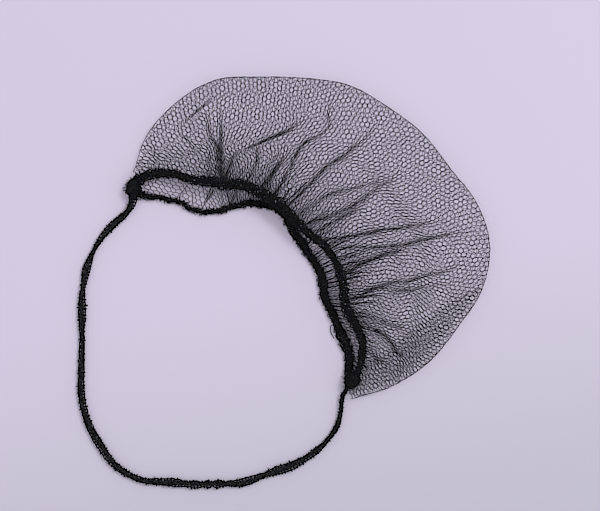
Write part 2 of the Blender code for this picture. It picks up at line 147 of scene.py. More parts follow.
# Heading of the net's columns, in degrees from the mouth's line, at places along its outermost strand.
# The places are distances from where that strand touches the outline, at a share of the mouth.
FAN_SHARE = 0.39
FAN = (
    (-0.170, 154.0), (-0.150, 152.0), (-0.110, 147.0), (-0.075, 138.0), (-0.056, 130.0), (-0.031, 117.0),
    (0.000, 104.5), (0.050, 86.0), (0.093, 69.0), (0.137, 51.0), (0.190, 28.0), (0.230, 14.0), (0.290, 0.0),
)

# The tuck at the right of the pouch, where the net is doubled inside: a share of the mouth, and where the
# tuck starts and ends there, as distances in from the outer fold
TUCK = (
    (0.744, 0.0008, 0.0012),
    (0.765, 0.0026, 0.0165),
    (0.796, 0.0043, 0.0215),
    (0.829, 0.0047, 0.0254),
    (0.855, 0.0050, 0.0272),
    (0.884, 0.0051, 0.0265),
    (0.917, 0.0047, 0.0262),
    (0.953, 0.0038, 0.0190),
    (0.978, 0.0032, 0.0120),
    (1.000, 0.0026, 0.0080),
)

# Height at which the tuck lies
TUCK_HEIGHT = 0.0017

# Knots at the corners of the mouth: middle and heading in plan. Along and rise are shares of MOUTH_SPAN
# and POUCH_DEPTH, and the heading is the way in which the head loop leaves, in degrees.
KNOT_LENGTH = 0.0125
KNOT_WIDTH = 0.0080
KNOT_HEIGHT = 0.0074
CLEARANCE = 0.0003
KNOTS = {
    "corner_knot_left": {"along": 0.001, "rise": -0.004, "heading": -47.5},
    "corner_knot_right": {"along": 0.990, "rise": 0.025, "heading": -79.5},
}

# Thickness of the elastic band that gathers each layer
BAND_THICKNESS = {"upper": 0.0042, "lower": 0.0028}

# Width over all of each band at shares of the mouth, and how far its middle lies towards the net
BAND_WIDTHS = {
    "upper": (
        (0.00, 0.0068, 0.0018), (0.02, 0.0064, 0.0010), (0.04, 0.0056, 0.0000), (0.07, 0.0058, -0.0005),
        (0.10, 0.0051, 0.0001), (0.13, 0.0047, -0.0003), (0.16, 0.0051, -0.0009), (0.19, 0.0056, -0.0007),
        (0.22, 0.0070, 0.0002), (0.25, 0.0074, -0.0005), (0.28, 0.0067, -0.0006), (0.31, 0.0061, -0.0005),
        (0.34, 0.0072, -0.0014), (0.38, 0.0070, -0.0014), (0.44, 0.0066, -0.0012), (0.50, 0.0056, -0.0011),
        (0.52, 0.0056, -0.0012), (0.55, 0.0044, -0.0003), (0.59, 0.0050, 0.0002), (0.62, 0.0041, -0.0004),
        (0.64, 0.0042, -0.0010), (0.67, 0.0054, -0.0011), (0.70, 0.0060, -0.0012), (0.73, 0.0050, -0.0008),
        (0.76, 0.0058, -0.0016), (0.79, 0.0060, -0.0018), (0.82, 0.0058, -0.0012), (0.85, 0.0050, -0.0002),
        (0.88, 0.0049, -0.0004), (0.91, 0.0045, 0.0000), (0.94, 0.0038, 0.0000), (1.00, 0.0056, 0.0000),
    ),
    "lower": (
        (0.00, 0.0064, -0.0004), (0.02, 0.0052, -0.0002), (0.04, 0.0036, -0.0002), (0.07, 0.0032, 0.0004),
        (0.10, 0.0027, 0.0006), (0.13, 0.0028, 0.0006), (0.16, 0.0030, 0.0010), (0.19, 0.0029, 0.0005),
        (0.22, 0.0032, 0.0004), (0.25, 0.0030, 0.0003), (0.28, 0.0033, 0.0003), (0.31, 0.0034, -0.0001),
        (0.34, 0.0042, 0.0006), (0.37, 0.0040, 0.0006), (0.40, 0.0046, 0.0012), (0.43, 0.0048, 0.0024),
        (0.46, 0.0050, 0.0022), (0.49, 0.0050, 0.0016), (0.52, 0.0050, 0.0006), (0.55, 0.0054, 0.0000),
        (0.58, 0.0050, 0.0001), (0.61, 0.0043, -0.0009), (0.64, 0.0046, -0.0002), (0.67, 0.0049, 0.0004),
        (0.70, 0.0058, -0.0008), (0.73, 0.0049, -0.0009), (0.76, 0.0049, -0.0005), (0.79, 0.0048, 0.0006),
        (0.82, 0.0044, 0.0004), (0.85, 0.0060, 0.0002), (0.88, 0.0068, 0.0004), (0.91, 0.0050, 0.0016),
        (0.94, 0.0050, 0.0007), (1.00, 0.0056, 0.0006),
    ),
}

# How unevenly wide a band is, as a share, and how far it sways, with the lengths over which both change
BAND_UNEVEN = 0.12
BAND_UNEVEN_WAVE = 0.004
BAND_SWAY = 0.0003
BAND_SWAY_WAVE = 0.007

# How thick a band's yarn is at shares of the mouth, against its full thickness
BAND_YARN_SHARES = {
    "upper": ((0.00, 1.0), (1.00, 1.0)),
    "lower": ((0.00, 1.0), (0.05, 0.45), (0.33, 0.50), (0.42, 1.0), (1.00, 1.0)),
}

# Head loop's route as it lies between the two knots, as the part has it
CORD_DIAMETER = 0.0042
LOOP_ROUTE = (
    (0.0068, -0.0115, 0.0030),
    (0.0066, -0.0170, 0.0024),
    (0.0058, -0.0240, 0.0022),
    (0.0057, -0.0325, 0.0022),
    (0.0072, -0.0422, 0.0022),
    (0.0103, -0.0515, 0.0022),
    (0.0150, -0.0601, 0.0022),
    (0.0205, -0.0682, 0.0022),
    (0.0271, -0.0755, 0.0022),
    (0.0336, -0.0828, 0.0022),
    (0.0403, -0.0899, 0.0022),
    (0.0467, -0.0974, 0.0022),
    (0.0532, -0.1047, 0.0022),
    (0.0598, -0.1119, 0.0022),
    (0.0675, -0.1179, 0.0022),
    (0.0760, -0.1228, 0.0022),
    (0.0852, -0.1262, 0.0022),
    (0.0947, -0.1288, 0.0022),
    (0.1043, -0.1302, 0.0022),
    (0.1140, -0.1287, 0.0022),
    (0.1230, -0.1252, 0.0022),
    (0.1307, -0.1191, 0.0022),
    (0.1383, -0.1130, 0.0022),
    (0.1462, -0.1072, 0.0022),
    (0.1533, -0.1004, 0.0022),
    (0.1603, -0.0936, 0.0022),
    (0.1671, -0.0865, 0.0022),
    (0.1719, -0.0780, 0.0022),
    (0.1764, -0.0693, 0.0022),
    (0.1813, -0.0608, 0.0022),
    (0.1850, -0.0517, 0.0022),
    (0.1871, -0.0422, 0.0022),
    (0.1877, -0.0324, 0.0022),
    (0.1862, -0.0227, 0.0022),
    (0.1818, -0.0148, 0.0025),
    (0.1770, -0.0082, 0.0031),
)

# Width over all of the head loop, as it lies flat or twisted, at shares of its length
LOOP_WIDTHS = (
    (0.000, 0.0062), (0.020, 0.0050), (0.034, 0.0036), (0.072, 0.0049), (0.114, 0.0030), (0.130, 0.0028),
    (0.156, 0.0054), (0.177, 0.0042), (0.192, 0.0030), (0.218, 0.0051), (0.244, 0.0048), (0.270, 0.0033),
    (0.314, 0.0042),
    (0.340, 0.0042), (0.372, 0.0045), (0.420, 0.0045), (0.456, 0.0054), (0.495, 0.0045), (0.562, 0.0036),
    (0.613, 0.0057), (0.635, 0.0042), (0.651, 0.0054), (0.661, 0.0036), (0.670, 0.0054), (0.678, 0.0033),
    (0.687, 0.0060), (0.699, 0.0033), (0.731, 0.0057), (0.751, 0.0048), (0.769, 0.0036), (0.792, 0.0057),
    (0.822, 0.0054), (0.841, 0.0039), (0.862, 0.0045), (0.887, 0.0030), (0.917, 0.0036), (0.948, 0.0026),
    (0.967, 0.0030), (0.986, 0.0026), (1.000, 0.0033),
)

# Head loop: its least thickness where it is widest, and how far it sinks below its route. Its rungs and its
# side chains lie in from its edges. Its heart, the knitted middle, takes up a share of the width and swings
# from side to side once in a length.
LOOP_THINNEST = 0.0024
LOOP_SINK = 0.0006
RUNG_INSET = 0.0001
CHAIN_INSET = 0.0006
HEART_SHARES = ((0.00, 0.80), (0.06, 0.55), (0.94, 0.55), (1.00, 0.80))
HEART_SWING = 0.24
HEART_WAVE = 0.065
HEART_START = 2.6

# Loose loops and fibres: their thickness at shares of their length, against the root's, how deep they
# start in the yarn, and the least height of a loop and of a fibre
THIN_END = ((0.0, 1.0), (1.0, 0.6))
ROOT_DEPTH = 0.0002
STRAY_HEIGHT = 0.0003
HAIR_HEIGHT = 0.0001

# Yarn's looks: the part of the mottle over which dark patches turn light, and the depth of its bumps
PATCH_RANGE = (0.42, 0.66)
BUMP_DEPTH = 0.0002

# Loose thread ends and loops, as plan points and height
LOOSE_THREADS = (
    ((0.1436, 0.0209, 0.0016), (0.1431, 0.0184, 0.0010), (0.1457, 0.0159, 0.0008), (0.1493, 0.0147, 0.0012)),
    ((0.0345, 0.0308, 0.0022), (0.0356, 0.0269, 0.0012), (0.0363, 0.0240, 0.0010)),
    ((0.0004, -0.0013, 0.0030), (-0.0020, -0.0034, 0.0018), (-0.0039, -0.0056, 0.0006)),
    ((0.0010, 0.0005, 0.0030), (-0.0024, -0.0017, 0.0014), (-0.0049, -0.0046, 0.0005)),
)

# Camera: the picture's size in pixels, the pixel on which the left corner of the mouth stands, the real
# length that a pixel covers on the surface, and how far the mouth's line is turned in the picture.
PICTURE = (600, 511)
CORNER_PIXEL = (134, 188)
PIXEL = 0.0006
PICTURE_TURN = math.radians(42.51)

# Painted shade on the surface, standing in for the light's falloff: how much of its colour the surface keeps
# at the lower right of the picture, in red, green and blue. It darkens along a line turned a little from the
# picture's upright, between these distances from its middle.
FLOOR_PAINTED_SHADE = (0.83, 0.87, 0.83)
FLOOR_TURN = math.radians(12.0)
FLOOR_DARK = 0.19
FLOOR_LIGHT = 0.13

# Soft light: its place from the picture's middle, to the picture's right, up in it and over the surface
LIGHT_PLACE = (1.60, 1.30, 2.30)

# Steps of the tables in which each lying layer is worked out, and the highest and deepest level in them
SHARE_STEPS = 800
FAN_STEPS = 2400
LEVEL_STEPS = 116
HIGHEST = -0.006
DEEPEST = 0.110

# Fan of columns: how far a column is followed, the steps to each side over which its headings are
# smoothed, how far its outermost strand may lie from the outline, and the least depth down to a band
COLUMN_REACH = 0.13
HEADING_BLUR = 40
MOST_INSET = 0.004
LEAST_DEPTH = 0.010

# A fold whose line starts further from the band than a share of the way fades out over a length before its
# root. A fold of the lower layer that starts nearer, but not at the band, runs on a little first. A fold's
# loose skirt is wider than its core.
OFF_BAND = 0.06
ROOT_FADE = 0.012
ROOT_RUN_ON = 0.008
SKIRT_WIDTH = 3.0

# Lower layer against the upper one: its thread thickens a fifth as much at its band, its folds are wider
LOWER_HEFT = 5
LOWER_SOFTNESS = 1.5

# Heights of a lying layer over the surface: the lower layer's middle, the least height of any thread, and
# the strip along the outer fold over which folds and ripples flatten out
LYING_HEIGHT = 0.0003
LEAST_HEIGHT = 0.00025
FLAT_EDGE = 0.004

# Thread along the outer fold: how far it is drawn in, over what length that changes, and its own length
OUTLINE_INSET = 0.00018
OUTLINE_WAVE = 0.0045
OUTLINE_LENGTH = 0.42

# Lengths over which whole stretches of net drift along and across, and over which the net ripples
DRIFT_WAVE = 0.055
LEAN_WAVE = 0.060
RIPPLE_WAVE = 0.022

# All random draws start from here
SEED = 7


def mouth_corner():
    """The left corner of the mouth in the part's frame, found from the left knot."""
    low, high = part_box("corner_knot_left")
    knot = KNOTS["corner_knot_left"]
    middle = (low + high) / 2
    return np.array((middle.x - knot["along"] * MOUTH_SPAN, middle.y - knot["rise"] * POUCH_DEPTH, low.z))


MOUTH_CORNER = mouth_corner()


def to_frame(points):
    """Moves points from the mouth's corner to the part's frame."""
    return np.asarray(points) + MOUTH_CORNER


def smooth_step(value):
    value = np.clip(value, 0.0, 1.0)
    return value * value * (3 - 2 * value)


def swell(away, width):
    """A soft hump of a width, one high at its middle."""
    swing = 1.0 / (1.0 + np.exp(-np.clip(away / (width / 4.4), -40, 40)))
    return 4.0 * swing * (1.0 - swing)


def smooth_noise(x, wavelength, seed, y=0.0):
    """Soft random hills from -1 to 1, made from crossing waves of about one wavelength."""
    rng = np.random.default_rng(seed)
    total = np.zeros_like(x)
    waves = 7
    for _ in range(waves):
        heading, phase = rng.uniform(0, 2 * math.pi, 2)
        length = wavelength * rng.uniform(0.7, 1.6)
        total += np.sin(2 * math.pi * (x * math.cos(heading) + y * math.sin(heading)) / length + phase)
    return total / math.sqrt(waves)


def read_line(where, places, points):
    """Points of a line, or values in rows, read between the places at which they are given."""
    return np.stack([np.interp(where, places, values) for values in np.transpose(points)], axis=-1)


def read_rows(rows, share):
    """Reads a table of evenly spaced rows at shares of its length, on a smooth curve through them."""
    table = np.asarray(rows, float)
    place = np.clip(np.asarray(share, float), 0.0, 1.0) * (len(table) - 1)
    first = np.minimum(place.astype(int), len(table) - 2)
    part = (place - first)[..., None]
    padded = np.vstack([2 * table[:1] - table[1:2], table, 2 * table[-1:] - table[-2:-1]])
    before, start, end, after = (padded[first + step] for step in range(4))
    bend = 2 * before - 5 * start + 4 * end - after
    twist = 3 * (start - end) + after - before
    return start + 0.5 * part * (end - before + part * (bend + part * twist))


def read_section(share):
    """Real sizes of the lying pouch at shares of the mouth: three plan lines, a lift and a crown."""
    rows = dict(zip(SECTION_COLUMNS, np.moveaxis(read_rows(SECTIONS, share), -1, 0)))
    section = {
        line: np.stack((rows[line + "_along"] * MOUTH_SPAN, rows[line + "_rise"] * POUCH_DEPTH), axis=-1)
        for line in ("upper", "lower", "edge")
    }
    section["lift"] = rows["lift"] * UPPER_BAND_LIFT
    section["crown"] = np.maximum(rows["crown"], 0.0) * CROWN_RISE
    return section


def band_middle(layer, share):
    """Middle line of the upper or the lower elastic band."""
    section = read_section(share)
    height = section["lift"] if layer == "upper" else np.zeros_like(section["lift"])
    return np.concatenate((section[layer], (height + BAND_THICKNESS[layer] / 2)[..., None]), axis=-1)


def along_line(points):
    """Distance along a line of points, from its start."""
    steps = np.linalg.norm(np.diff(points, axis=-2), axis=-1)
    return np.concatenate((np.zeros_like(steps[..., :1]), np.cumsum(steps, axis=-1)), axis=-1)


def line_frame(points):
    """Level side and upward directions of a line of points."""
    way = np.gradient(points, axis=0)
    way /= np.linalg.norm(way, axis=1)[:, None]
    side = np.stack((-way[:, 1], way[:, 0], np.zeros(len(way))), axis=1)
    side /= np.linalg.norm(side, axis=1)[:, None]
    return side, np.cross(side, way) * -1.0


def round_line(line, along, sideways, upwards):
    """Points beside and over a line of points, at distances along it."""
    length = along_line(line)
    middle, side, up = (read_line(along, length, values) for values in (line, *line_frame(line)))
    return middle + side * sideways[..., None] + up * upwards[..., None]


def keep_up(run, lowest):
    """Lifts the points of a run that lie too low."""
    run[:, 2] = np.maximum(run[:, 2], lowest)
    return run


class LyingLayer:
    """One layer of the net as it lies. Its columns fan out from the mouth. A place is found by its fan
    place, the distance along the outermost strand, and by its level, the distance in from that strand.
    Folds take up the net that the shorter inner levels have no room for."""

    def __init__(self, layer, folds, net):
        upper = layer == "upper"
        self.layer = layer
        self.turn = math.radians(net.turn if upper else -net.turn)
        self.heft = net.band_heft if upper else net.band_heft / LOWER_HEFT
        self.shares = np.linspace(0.0, 1.0, SHARE_STEPS + 1)
        section = read_section(self.shares)
        self.edge = section["edge"]
        self.crown = section["crown"]
        self.band = band_middle(layer, self.shares)
        self.fold_root = band_middle("upper", self.shares)[:, :2]
        self.make_fan()
        self.lay_folds(folds, net)

    def make_fan(self):
        """Outermost strand of the fan, with the column's way out at each of its places."""
        places, headings = zip(*FAN)
        self.fan = np.linspace(places[0], places[-1], FAN_STEPS + 1)
        heading = np.radians(np.interp(self.fan, places, headings))
        window = 2 * HEADING_BLUR + 1
        for _ in range(3):
            padded = np.pad(heading, HEADING_BLUR, mode="edge")
            heading = np.convolve(padded, np.ones(window) / window, mode="valid")
        self.out_way = np.stack((np.cos(heading), np.sin(heading)), axis=-1)
        along = np.stack((self.out_way[:, 1], -self.out_way[:, 0]), axis=-1)
        self.step = self.fan[1] - self.fan[0]
        run_on = np.cumsum((along[1:] + along[:-1]) / 2 * self.step, axis=0)
        strand = np.concatenate((np.zeros((1, 2)), run_on))
        touch = read_line(FAN_SHARE, self.shares, self.edge)
        self.strand = strand - read_line(0.0, self.fan, strand) + touch
        self.bend = -np.gradient(heading, self.step)
        self.inset = np.clip(self.level_of(self.edge), -MOST_INSET, MOST_INSET)
        self.band_level = np.maximum(self.level_of(self.band[:, :2]), LEAST_DEPTH)

    def find_fan(self, plan):
        """Fan place and level of plan points, before the strands are drawn in to the outline."""
        found = []
        for point in plan:
            offset = point - self.strand
            square = offset[:, 0] * self.out_way[:, 1] - offset[:, 1] * self.out_way[:, 0]
            level = -(offset * self.out_way).sum(axis=1)
            crosses = (square[:-1] >= 0) & (square[1:] < 0) & (np.abs(level[:-1]) < COLUMN_REACH)
            crossing = np.flatnonzero(crosses)
            if len(crossing):
                nearest = crossing[np.argmin(np.abs(level[crossing]))]
            else:
                nearest = np.argmin(np.abs(square))
            found.append((self.fan[nearest], level[nearest]))
        return np.array(found).T

    def level_of(self, line):
        """The level at which a plan line lies, at each fan place."""
        place, level = self.find_fan(line)
        order = np.argsort(place)
        return np.interp(self.fan, place[order], level[order])

    def even(self, kernel):
        """A fold's kernel, scaled so that it holds one length of net on each level."""
        return kernel / (kernel.sum(axis=1, keepdims=True) * self.step + 1e-9)

    def lay_folds(self, folds, net):
        """Tables of the net's own x and of the folds' height, at every fan place and level."""
        self.levels = np.linspace(HIGHEST, DEEPEST, LEVEL_STEPS + 1)
        level = self.levels[:, None]
        room = 1.0 - (level + self.inset) * self.bend
        closeness = np.clip(level / self.band_level, 0.0, 1.0) ** 4
        drawn_in = (1.0 + (net.band_tightness - 1.0) * closeness) * room
        base = np.clip(drawn_in, 0.1, net.edge_stretch)
        excess = net.edge_stretch - base
        pulls, kernels = [], []
        drawn = np.zeros_like(room)
        for number, (strength, width, skirt, line) in enumerate(folds):
            middle, fade, deepest = self.find_line(strength, line)
            if line[0][1] > OFF_BAND:
                fade = fade * smooth_step((deepest - self.levels) / ROOT_FADE)
            elif line[0][1] > 0.0 and self.layer == "lower":
                fade = fade * smooth_step((deepest + ROOT_RUN_ON - self.levels) / ROOT_FADE)
            middle = middle + net.fold_wander * smooth_noise(self.levels, 0.014, SEED + number)
            away = self.fan - middle[:, None]
            across = width * net.fold_width / np.maximum(room, 0.25)
            kernels.append(self.even(swell(away, across) + skirt * swell(away, SKIRT_WIDTH * across)))
            sides = self.even(swell(away, net.fold_sides / np.maximum(room, 0.4)))
            drawn += net.fold_draw * fade[:, None] * (kernels[-1] - sides)
            pulls.append(fade[:, None] * np.exp(-np.abs(away) / net.fold_reach))
        whole = net.loose_share + sum(pulls)
        density = base + excess * net.loose_share / whole
        self.height = np.zeros_like(density)
        for pull, kernel in zip(pulls, kernels):
            take = (excess * pull / whole).sum(axis=1, keepdims=True) * self.step
            density = density + take * kernel
            self.height += net.fold_rise * take * kernel / np.maximum(kernel.max(axis=1, keepdims=True), 1e-9)
        density = np.maximum(density + drawn, 0.35 * base)
        more = np.zeros_like(density)
        for strength, half_width, line in BUNCHES:
            middle, fade, deepest = self.find_line(strength, line)
            away = (self.fan - middle[:, None]) * np.maximum(room, 0.3) / half_width
            more += density * fade[:, None] * np.exp(-away ** 2)
        start = -more.sum(axis=1, keepdims=True) * self.step / 2
        density = density + more
        run_on = start + np.cumsum((density[:, 1:] + density[:, :-1]) / 2 * self.step, axis=1)
        self.x = self.fan[0] + np.concatenate((start, run_on), axis=1)

    def find_line(self, strength, line):
        """Fan place and strength of a fold or a bunch at each level, and the level of its root."""
        shares, outs = read_line(np.linspace(0, 1, 12), np.linspace(0, 1, len(line)), line).T
        edge, root = (read_line(shares, self.shares, points) for points in (self.edge, self.fold_root))
        place, found = self.find_fan(edge + (root - edge) * (1.0 - outs)[:, None])
        found = found - np.interp(place, self.fan, self.inset)
        order = np.argsort(found)
        middle = np.interp(self.levels, found[order], place[order])
        shallow, deepest = found.min(), found.max()
        fade = smooth_step((self.levels - shallow) / (0.4 * (deepest - shallow) + 0.004))
        strong = np.interp(self.levels, (shallow, (shallow + deepest) / 2, deepest), strength[::-1])
        return middle, fade * strong, deepest

    def find_plan(self, x, level):
        """Plan points and fold heights of places on one strand of the net."""
        row = (level - self.levels[0]) / (self.levels[1] - self.levels[0])
        row = np.clip(row, 0, LEVEL_STEPS - 1e-6)
        first = row.astype(int)
        down = row - first
        fan = np.zeros_like(x)
        for number in np.unique(first):
            here = first == number
            nearer, further = (np.interp(x[here], self.x[number + step], self.fan) for step in (0, 1))
            fan[here] = nearer * (1 - down[here]) + further * down[here]
        column = (fan - self.fan[0]) / (self.fan[-1] - self.fan[0]) * FAN_STEPS
        column = np.clip(column, 0, FAN_STEPS - 1e-6)
        left = column.astype(int)
        across = column - left
        top, under = (
            self.height[row, left] * (1 - across) + self.height[row, left + 1] * across
            for row in (first, first + 1)
        )
        strand, out_way = (read_line(fan, self.fan, points) for points in (self.strand, self.out_way))
        inset = np.interp(fan, self.fan, self.inset)
        return strand - out_way * (level + inset)[..., None], top * (1 - down) + under * down

    def find_section(self, plan):
        """Share of the mouth and of the way from the outer fold to the band, for plan points."""
        shares = np.linspace(0.0, 1.0, 201)
        edge = read_line(shares, self.shares, self.edge)
        inward = read_line(shares, self.shares, self.band[:, :2]) - edge
        offset = plan[:, None, :] - edge
        cross = offset[..., 0] * inward[:, 1] - offset[..., 1] * inward[:, 0]
        near = (offset * inward).sum(axis=-1) / (inward * inward).sum(axis=-1)
        change = np.sign(cross[:, :-1]) != np.sign(cross[:, 1:])
        nowhere = 9.0
        far = np.where(change, np.abs(near[:, :-1] - 0.5), nowhere)
        rows, first = np.arange(len(plan)), np.argmin(far, axis=1)
        found = far[rows, first] < nowhere
        left, right = cross[rows, first], cross[rows, first + 1]
        part = np.where(found, left / np.where(left == right, 1.0, left - right), 0.0)
        share = shares[first] + part * (shares[1] - shares[0])
        way = near[rows, first] * (1 - part) + near[rows, first + 1] * part
        return np.where(found, share, -1.0), np.where(found, way, -1.0)

    def stand(self, plan, share, near, fold_height, ripple):
        """Lifts plan points to the height at which this layer lies."""
        held = np.clip(near, 0.0, 1.0)
        edge, band = (read_line(share, self.shares, points) for points in (self.edge, self.band))
        offset = held * np.linalg.norm(band[..., :2] - edge, axis=-1)
        turned = np.sqrt(1.0 - (1.0 - np.clip(offset / FOLD_RADIUS, 0.0, 1.0)) ** 2)
        fade = np.clip(offset / FLAT_EDGE, 0.0, 1.0)
        if self.layer == "upper":
            start = FOLD_RADIUS * (1 + turned)
            bulge = np.interp(share, self.shares, self.crown) * np.sin(math.pi * held ** CROWN_BIAS)
            height = start + (band[..., 2] - start) * held + bulge + fold_height * fade
        else:
            rest = FOLD_RADIUS * (1 - turned) + band[..., 2] * held ** 8
            height = rest + 0.5 * fold_height * fade + LYING_HEIGHT
        height = np.maximum(height + ripple * fade, LEAST_HEIGHT)
        return np.concatenate((plan, height[..., None]), axis=-1)

    def outline(self, count, seed):
        """The thread that runs along the outer fold, drawn in a little between the cells."""
        share = np.linspace(0.0, 1.0, count)
        edge, band = (read_line(share, self.shares, points) for points in (self.edge, self.band[:, :2]))
        inward = (band - edge) / np.linalg.norm(band - edge, axis=1)[:, None]
        inset = OUTLINE_INSET + OUTLINE_INSET * smooth_noise(share * OUTLINE_LENGTH, OUTLINE_WAVE, seed)
        return self.stand(edge + inward * inset[:, None], share, 0.0 * share + 0.002, 0 * share, 0 * share)


def zigzag_strands(first_level, levels, first_column, columns, bar_share, pair_gap):
    """Knitted strands on a flat lattice, in columns and levels. Each strand runs from column to column,
    swings between its own level and the next one, and lies beside its neighbour for one bar there.
    Returns the places, and each place's column and level, as arrays of strand, column and bar end."""
    strand = (first_level + np.arange(levels))[:, None, None]
    column = (first_column + np.arange(columns))[None, :, None]
    high = (strand + column) % 2
    ends = np.array((-0.5, 0.5)) * bar_share
    x = column + ends + 0.0 * strand
    level = strand + high + 0 * column
    y = level + (1 - 2 * high) * pair_gap + 0.0 * ends
    return x, y, np.broadcast_to(column, x.shape), np.broadcast_to(level, x.shape)


def kept_runs(points, room):
    """The stretches of a line of points that have room, each run on to where the room ends."""
    runs = []
    edges = np.flatnonzero(np.diff(np.concatenate(([0], (room > 0).astype(int), [0]))))
    for start, end in zip(edges[::2], edges[1::2]):
        run = points[start:end]
        if start > 0 and room[start - 1] > -0.02:
            part = room[start] / (room[start] - room[start - 1])
            run = np.vstack((run[:1] + (points[start - 1] - run[:1]) * part, run))
        if end < len(points) and room[end] > -0.02:
            part = room[end - 1] / (room[end - 1] - room[end])
            run = np.vstack((run, run[-1:] + (points[end] - run[-1:]) * part))
        if len(run) > 2:
            runs.append(run)
    return runs


def pillar_strands(points, room, first_strand, first_column):
    """Upright threads that follow the sides of the cells, from joint to joint, and their room. They are read
    from the strands' bar ends, given as arrays of strand, column and bar end."""
    strands, columns = points.shape[:2]
    strand = np.arange(strands)
    for column in range(columns - 1):
        joined_here = (strand + first_strand + column + first_column) % 2 == 0
        place = np.where(joined_here, column, column + 1)
        end = np.where(joined_here, 1, 0)
        yield points[strand, place, end], room[strand, place, end]


def knit_layer(sheet, net, turn, seed, region, lift=None):
    """Threads of one layer of the net, laid on its sheet and kept where the region has room for them: the
    strands that run along the mouth, and the pillars between them. The net is turned a little against the
    outer fold, and each joint is a little out of line. A fourth value of each point is the thickness."""
    half_cell = net.cell_height / 2
    middle = (sheet.fan[0] + sheet.fan[-1]) / 2
    swing = abs(math.sin(turn)) * (sheet.fan[-1] - sheet.fan[0]) / 2
    first_level = -int(swing / half_cell) - 2
    levels = int((DEEPEST + swing) / half_cell) - first_level
    first_column = int(sheet.fan[0] / net.cell_width)
    columns = int((sheet.fan[-1] - sheet.fan[0]) / net.cell_width)
    bar_share = net.bar_length / net.cell_width
    pair_gap = net.thread * 0.04 / half_cell
    x, y, column, level = zigzag_strands(first_level, levels, first_column, columns, bar_share, pair_gap)
    slip = np.random.default_rng(seed).normal(0.0, net.joint_slip, (2, levels + 2, columns + 2))
    row, place = level - first_level, column - first_column
    flat_x = x * net.cell_width + slip[0][row, place] - middle
    flat_y = y * net.cell_height / 2 + slip[1][row, place]
    along = flat_x * math.cos(turn) + flat_y * math.sin(turn) + middle
    reach = flat_y * math.cos(turn) - flat_x * math.sin(turn)
    along = along + net.drift * smooth_noise(along, DRIFT_WAVE, seed + 1, reach)
    reach = reach + 0.6 * net.drift * smooth_noise(along, LEAN_WAVE, seed + 3, reach)
    ripple = net.ripple * smooth_noise(along, RIPPLE_WAVE, seed + 2, reach)
    points, room = [], []
    for strand_x, strand_level, strand_ripple in zip(along, reach, ripple):
        strand_level, strand_ripple = strand_level.ravel(), strand_ripple.ravel()
        plan, fold_height = sheet.find_plan(strand_x.ravel(), strand_level)
        share, near = sheet.find_section(plan)
        strand = sheet.stand(plan, share, near, fold_height, strand_ripple)
        if lift is not None:
            strand[:, 2] = lift + 0.5 * strand_ripple
        points.append(np.c_[strand, 1.0 + sheet.heft * np.clip(near, 0.0, 1.0) ** 4])
        room.append(region(share, near))
    runs, pillars = [], []
    for strand, strand_room in zip(points, room):
        runs.extend(kept_runs(strand, strand_room))
    points, room = np.reshape(points, (*x.shape, 4)), np.reshape(room, x.shape)
    for pillar, pillar_room in pillar_strands(points, room, first_level, first_column):
        pillars.extend(kept_runs(pillar, pillar_room))
    return runs, pillars


def whole_region(share, near):
    """Room on the whole layer: it ends at the outer fold, at the band and at both corners."""
    return np.minimum(np.minimum(near, 1.0 - near), np.minimum(share, 1.0 - share) + 0.002)


def tuck_region(sheet):
    """Room in the tuck, between its inner fold and the strip along the pouch's edge."""
    depth = np.linalg.norm(sheet.band[:, :2] - sheet.edge, axis=1)
    shares, outers, inners = zip(*TUCK)

    def region(share, near):
        reach = near * np.interp(share, sheet.shares, depth)
        inside = np.minimum(np.interp(share, shares, inners) - reach, (1.0 - near) * 0.05)
        return np.where(share > shares[0], np.minimum(reach - np.interp(share, shares, outers), inside), -1.0)

    return region


def add_object(name, data):
    """Links a new object to the scene."""
    added = bpy.data.objects.new(name, data)
    bpy.context.scene.collection.objects.link(added)
    return added


def thread_piece(name, runs, radius, material, slot, *nodes, sides=4, taper=None):
    """Joins many threads, each a line of points, into one mesh piece. It rides on the part, takes its finish
    from the material and stands for the nodes. The slot is not used. A taper gives the thickness at shares of
    each thread's length."""
    if not runs:
        raise ValueError("no threads for " + name)
    curve = bpy.data.curves.new(name, "CURVE")
    curve.dimensions = "3D"
    curve.bevel_depth = radius
    curve.bevel_resolution = sides // 2 - 2
    curve.use_fill_caps = True
    for run in runs:
        spline = curve.splines.new("POLY")
        spline.points.add(len(run) - 1)
        places = np.c_[to_frame(run[:, :3]), np.ones(len(run))]
        spline.points.foreach_set("co", places.astype(np.float32).ravel())
        thickness = None
        if run.shape[1] > 3:
            thickness = run[:, 3]
        elif taper is not None:
            thickness = np.interp(np.linspace(0.0, 1.0, len(run)), *zip(*taper))
        if thickness is not None:
            spline.points.foreach_set("radius", thickness.astype(np.float32))
    holder = add_object(name + "_line", curve)
    mesh = bpy.data.meshes.new_from_object(holder.evaluated_get(bpy.context.evaluated_depsgraph_get()))
    bpy.data.objects.remove(holder)
    bpy.data.curves.remove(curve)
    mesh.name = name
    mesh.shade_smooth()
    mesh.materials.clear()
    mesh.materials.append(material)
    piece = add_object(name, mesh)
    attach(piece, "root")
    if nodes:
        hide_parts(*nodes)
    return piece


